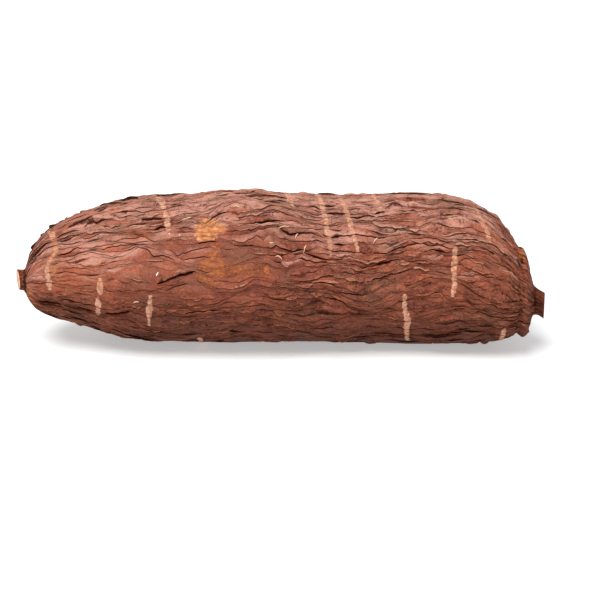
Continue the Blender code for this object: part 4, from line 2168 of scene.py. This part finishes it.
@dataclass(frozen=True)
class SawnFinish:
    """Sawn cassava stem, cut across the fibres: pale salmon-tan with darker rays."""

    pale: str = "#e8bfa2"
    ray: str = "#b57f57"
    rind: str = "#a5664b"
    pith: str = "#8f5a3c"
    fibre_mm: float = 0.6  # real fibres are about 0.2 mm, drawn coarser to show
    rays: tuple[float, float, float] = (1.5, 9.0, 9.0)  # stretches noise out from the middle
    bump_strength: float = 0.6
    bump_mm: float = 0.3
    roughness: float = 0.85

    def material(self) -> bpy.types.Material:
        """Builds the sawn wood's node material.

        Returns:
            The material.
        """
        material, tree, shader = start_material("sawn_cassava_stem")
        place = add_node(tree, "TexCoord").outputs["Object"]
        saw = add_node(tree, "Attribute", {"attribute_name": "saw"}).outputs["Vector"]
        share = add_node(tree, "SeparateXYZ", inputs={"Vector": saw}).outputs["X"]
        fibre = add_node(tree, "TexNoise", inputs={
            "Vector": place, "Scale": 1000 / self.fibre_mm, "Detail": 3.0, "Roughness": 0.6,
        }).outputs["Fac"]
        spokes = add_node(tree, "Mapping", inputs={"Vector": saw, "Scale": self.rays})
        rays = add_node(tree, "TexNoise", inputs={
            "Vector": spokes.outputs["Vector"], "Scale": 1.0, "Detail": 2.0, "Roughness": 0.5,
        }).outputs["Fac"]
        wavy = combine(tree, fibre, 0.16, share)
        colour: Paint = self.pale
        for source, nothing, all_of_it, most, layer in (
            (rays, 0.50, 0.66, 0.75, self.ray),
            (fibre, 0.54, 0.72, 0.60, self.ray),
            (wavy, 0.27, 0.19, 0.80, self.pith),
            (wavy, 0.90, 0.98, 0.85, self.rind),
        ):
            colour = cover(tree, colour, source, nothing, all_of_it, most, layer)
        tree.links.new(colour, shader.inputs["Base Color"])
        rough = add_node(tree, "Math", {"operation": "ADD"}, {0: fibre, 1: rays}).outputs["Value"]
        bump = add_node(tree, "Bump", inputs={
            "Strength": self.bump_strength, "Distance": self.bump_mm * MM, "Height": rough,
        }).outputs["Normal"]
        tree.links.new(bump, shader.inputs["Normal"])
        shader.inputs["Roughness"].default_value = self.roughness
        return material


@dataclass(frozen=True)
class DryFinish:
    """Dry plant matter with no gloss: straw-coloured fibres, or specks of dried white starch."""

    name: str
    light: str
    dark: str
    grain_mm: float = 0.8  # real grain is about 0.1 mm, drawn coarser to show
    roughness: float = 0.8

    def material(self) -> bpy.types.Material:
        """Builds the node material."""
        return two_tones(self.name, self.light, self.dark, self.grain_mm, self.roughness)


@dataclass(frozen=True)
class AcrylicFinish:
    """Matt opal acrylic sheet, lit a little from below.

    It is seen as an even white ground on which shadows stay pale.
    """

    white: str = "#cfcfcf"
    shade: str = "#cbcbcb"
    cloud_mm: float = 2.5
    glow: float = 0.62
    roughness: float = 0.9

    def material(self) -> bpy.types.Material:
        """Builds the sheet's node material.

        Returns:
            The material.
        """
        material = two_tones("opal_acrylic", self.white, self.shade, self.cloud_mm, self.roughness)
        shader = material.node_tree.nodes["Principled BSDF"]
        shader.inputs["Emission Color"].default_value = linear(self.white)
        shader.inputs["Emission Strength"].default_value = self.glow
        return material


@dataclass
class Studio:
    """The white ground, the soft light and the camera.

    The camera's place is worked out from the real size of a pixel and from the pixel on which the
    root's middle falls.
    """

    floor_size: float = 12.0
    world_strength: float = 0.50
    sun_strength: float = 3.7
    sun_softness: float = math.radians(34)
    sun_from: tuple[float, float, float] = (-0.28, -0.42, 1.0)
    elevation: float = math.radians(22)
    lens_mm: float = 100.0
    sensor_mm: float = 36.0
    frame_pixels: int = 600
    metres_per_pixel: float = 0.5 * MM
    root_middle: tuple[float, float, float] = (0.0, 0.0, 37.7 * MM)
    root_middle_pixel: tuple[float, float] = (280.0, 266.0)

    def build_floor(self) -> bpy.types.Object:
        """Lays the white ground.

        Returns:
            The floor's object.
        """
        half = self.floor_size / 2
        corners = np.array([(-half, -half, 0), (half, -half, 0), (half, half, 0), (-half, half, 0)])
        floor = add_object("acrylic_floor", corners, [[0, 1, 2, 3]])
        floor.data.materials.append(AcrylicFinish().material())
        return floor

    def build_lights(self) -> None:
        """Lights the root from above and in front, within a white room."""
        world = bpy.data.worlds.new("white_room")
        world.use_nodes = True
        background = world.node_tree.nodes["Background"]
        background.inputs["Color"].default_value = (1.0, 1.0, 1.0, 1.0)
        background.inputs["Strength"].default_value = self.world_strength
        bpy.context.scene.world = world
        light = bpy.data.lights.new("softbox", "SUN")
        light.energy = self.sun_strength
        light.angle = self.sun_softness
        lamp = bpy.data.objects.new("softbox", light)
        lamp.rotation_euler = (-Vector(self.sun_from)).to_track_quat("-Z", "Y").to_euler()
        bpy.context.scene.collection.objects.link(lamp)

    def build_camera(self) -> bpy.types.Object:
        """Sets the camera at the viewing angle, so that the root's middle falls on its pixel.

        Returns:
            The camera's object.
        """
        ahead = Vector((0.0, math.cos(self.elevation), -math.sin(self.elevation)))
        right = Vector((1.0, 0.0, 0.0))
        upward = right.cross(ahead)
        half = self.frame_pixels / 2
        aim = Vector(self.root_middle)
        aim += right * (half - self.root_middle_pixel[0]) * self.metres_per_pixel
        aim -= upward * (half - self.root_middle_pixel[1]) * self.metres_per_pixel
        reach = self.frame_pixels * self.metres_per_pixel * self.lens_mm / self.sensor_mm
        data = bpy.data.cameras.new("camera")
        data.lens = self.lens_mm
        data.sensor_width = self.sensor_mm
        camera = bpy.data.objects.new("camera", data)
        camera.location = aim - ahead * reach
        camera.rotation_euler = ahead.to_track_quat("-Z", "Y").to_euler()
        bpy.context.scene.collection.objects.link(camera)
        bpy.context.scene.camera = camera
        return camera


def main() -> None:
    """Builds the root and the studio in order, and reports each piece."""
    logging.basicConfig(level=logging.INFO, format="%(message)s")
    form = RootForm()
    skin = RootSkin(form, Crevices())
    skin.shape()
    flakes = PeelingFlakes(skin)
    flakes.shape()
    fibres = LooseBits("loose_fibres", FIBRES, FIBRE_THICKNESS, skin)
    fibres.shape()
    flecks = LooseBits("starch_flecks", FLECKS, FLECK_THICKNESS, skin)
    flecks.shape()
    fit = BoxFit.around([skin.points, flakes.points, fibres.points, flecks.points])
    bark = BarkFinish().material()
    piece = skin.build(fit)
    piece.data.materials.append(bark)
    piece.data.materials.append(SawnFinish().material())
    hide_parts("cassava_root")
    peeled = flakes.build(fit)
    peeled.data.materials.append(bark)
    straw = fibres.build(fit)
    straw.data.materials.append(DryFinish("dry_straw_fibre", "#ecccae", "#c99970").material())
    starch = flecks.build(fit)
    starch.data.materials.append(DryFinish("dried_starch", "#f7efe6", "#e8d8c8").material())
    for part in (piece, peeled, straw, starch):
        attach(part, BODY)
        triangles = sum(len(polygon.vertices) - 2 for polygon in part.data.polygons)
        LOG.info("%s: %d triangles", part.name, triangles)
    studio = Studio()
    studio.build_floor()
    studio.build_lights()
    studio.build_camera()
    bpy.context.scene.view_settings.view_transform = "Standard"
    LOG.info("studio ready")


if __name__ == "__main__":
    main()
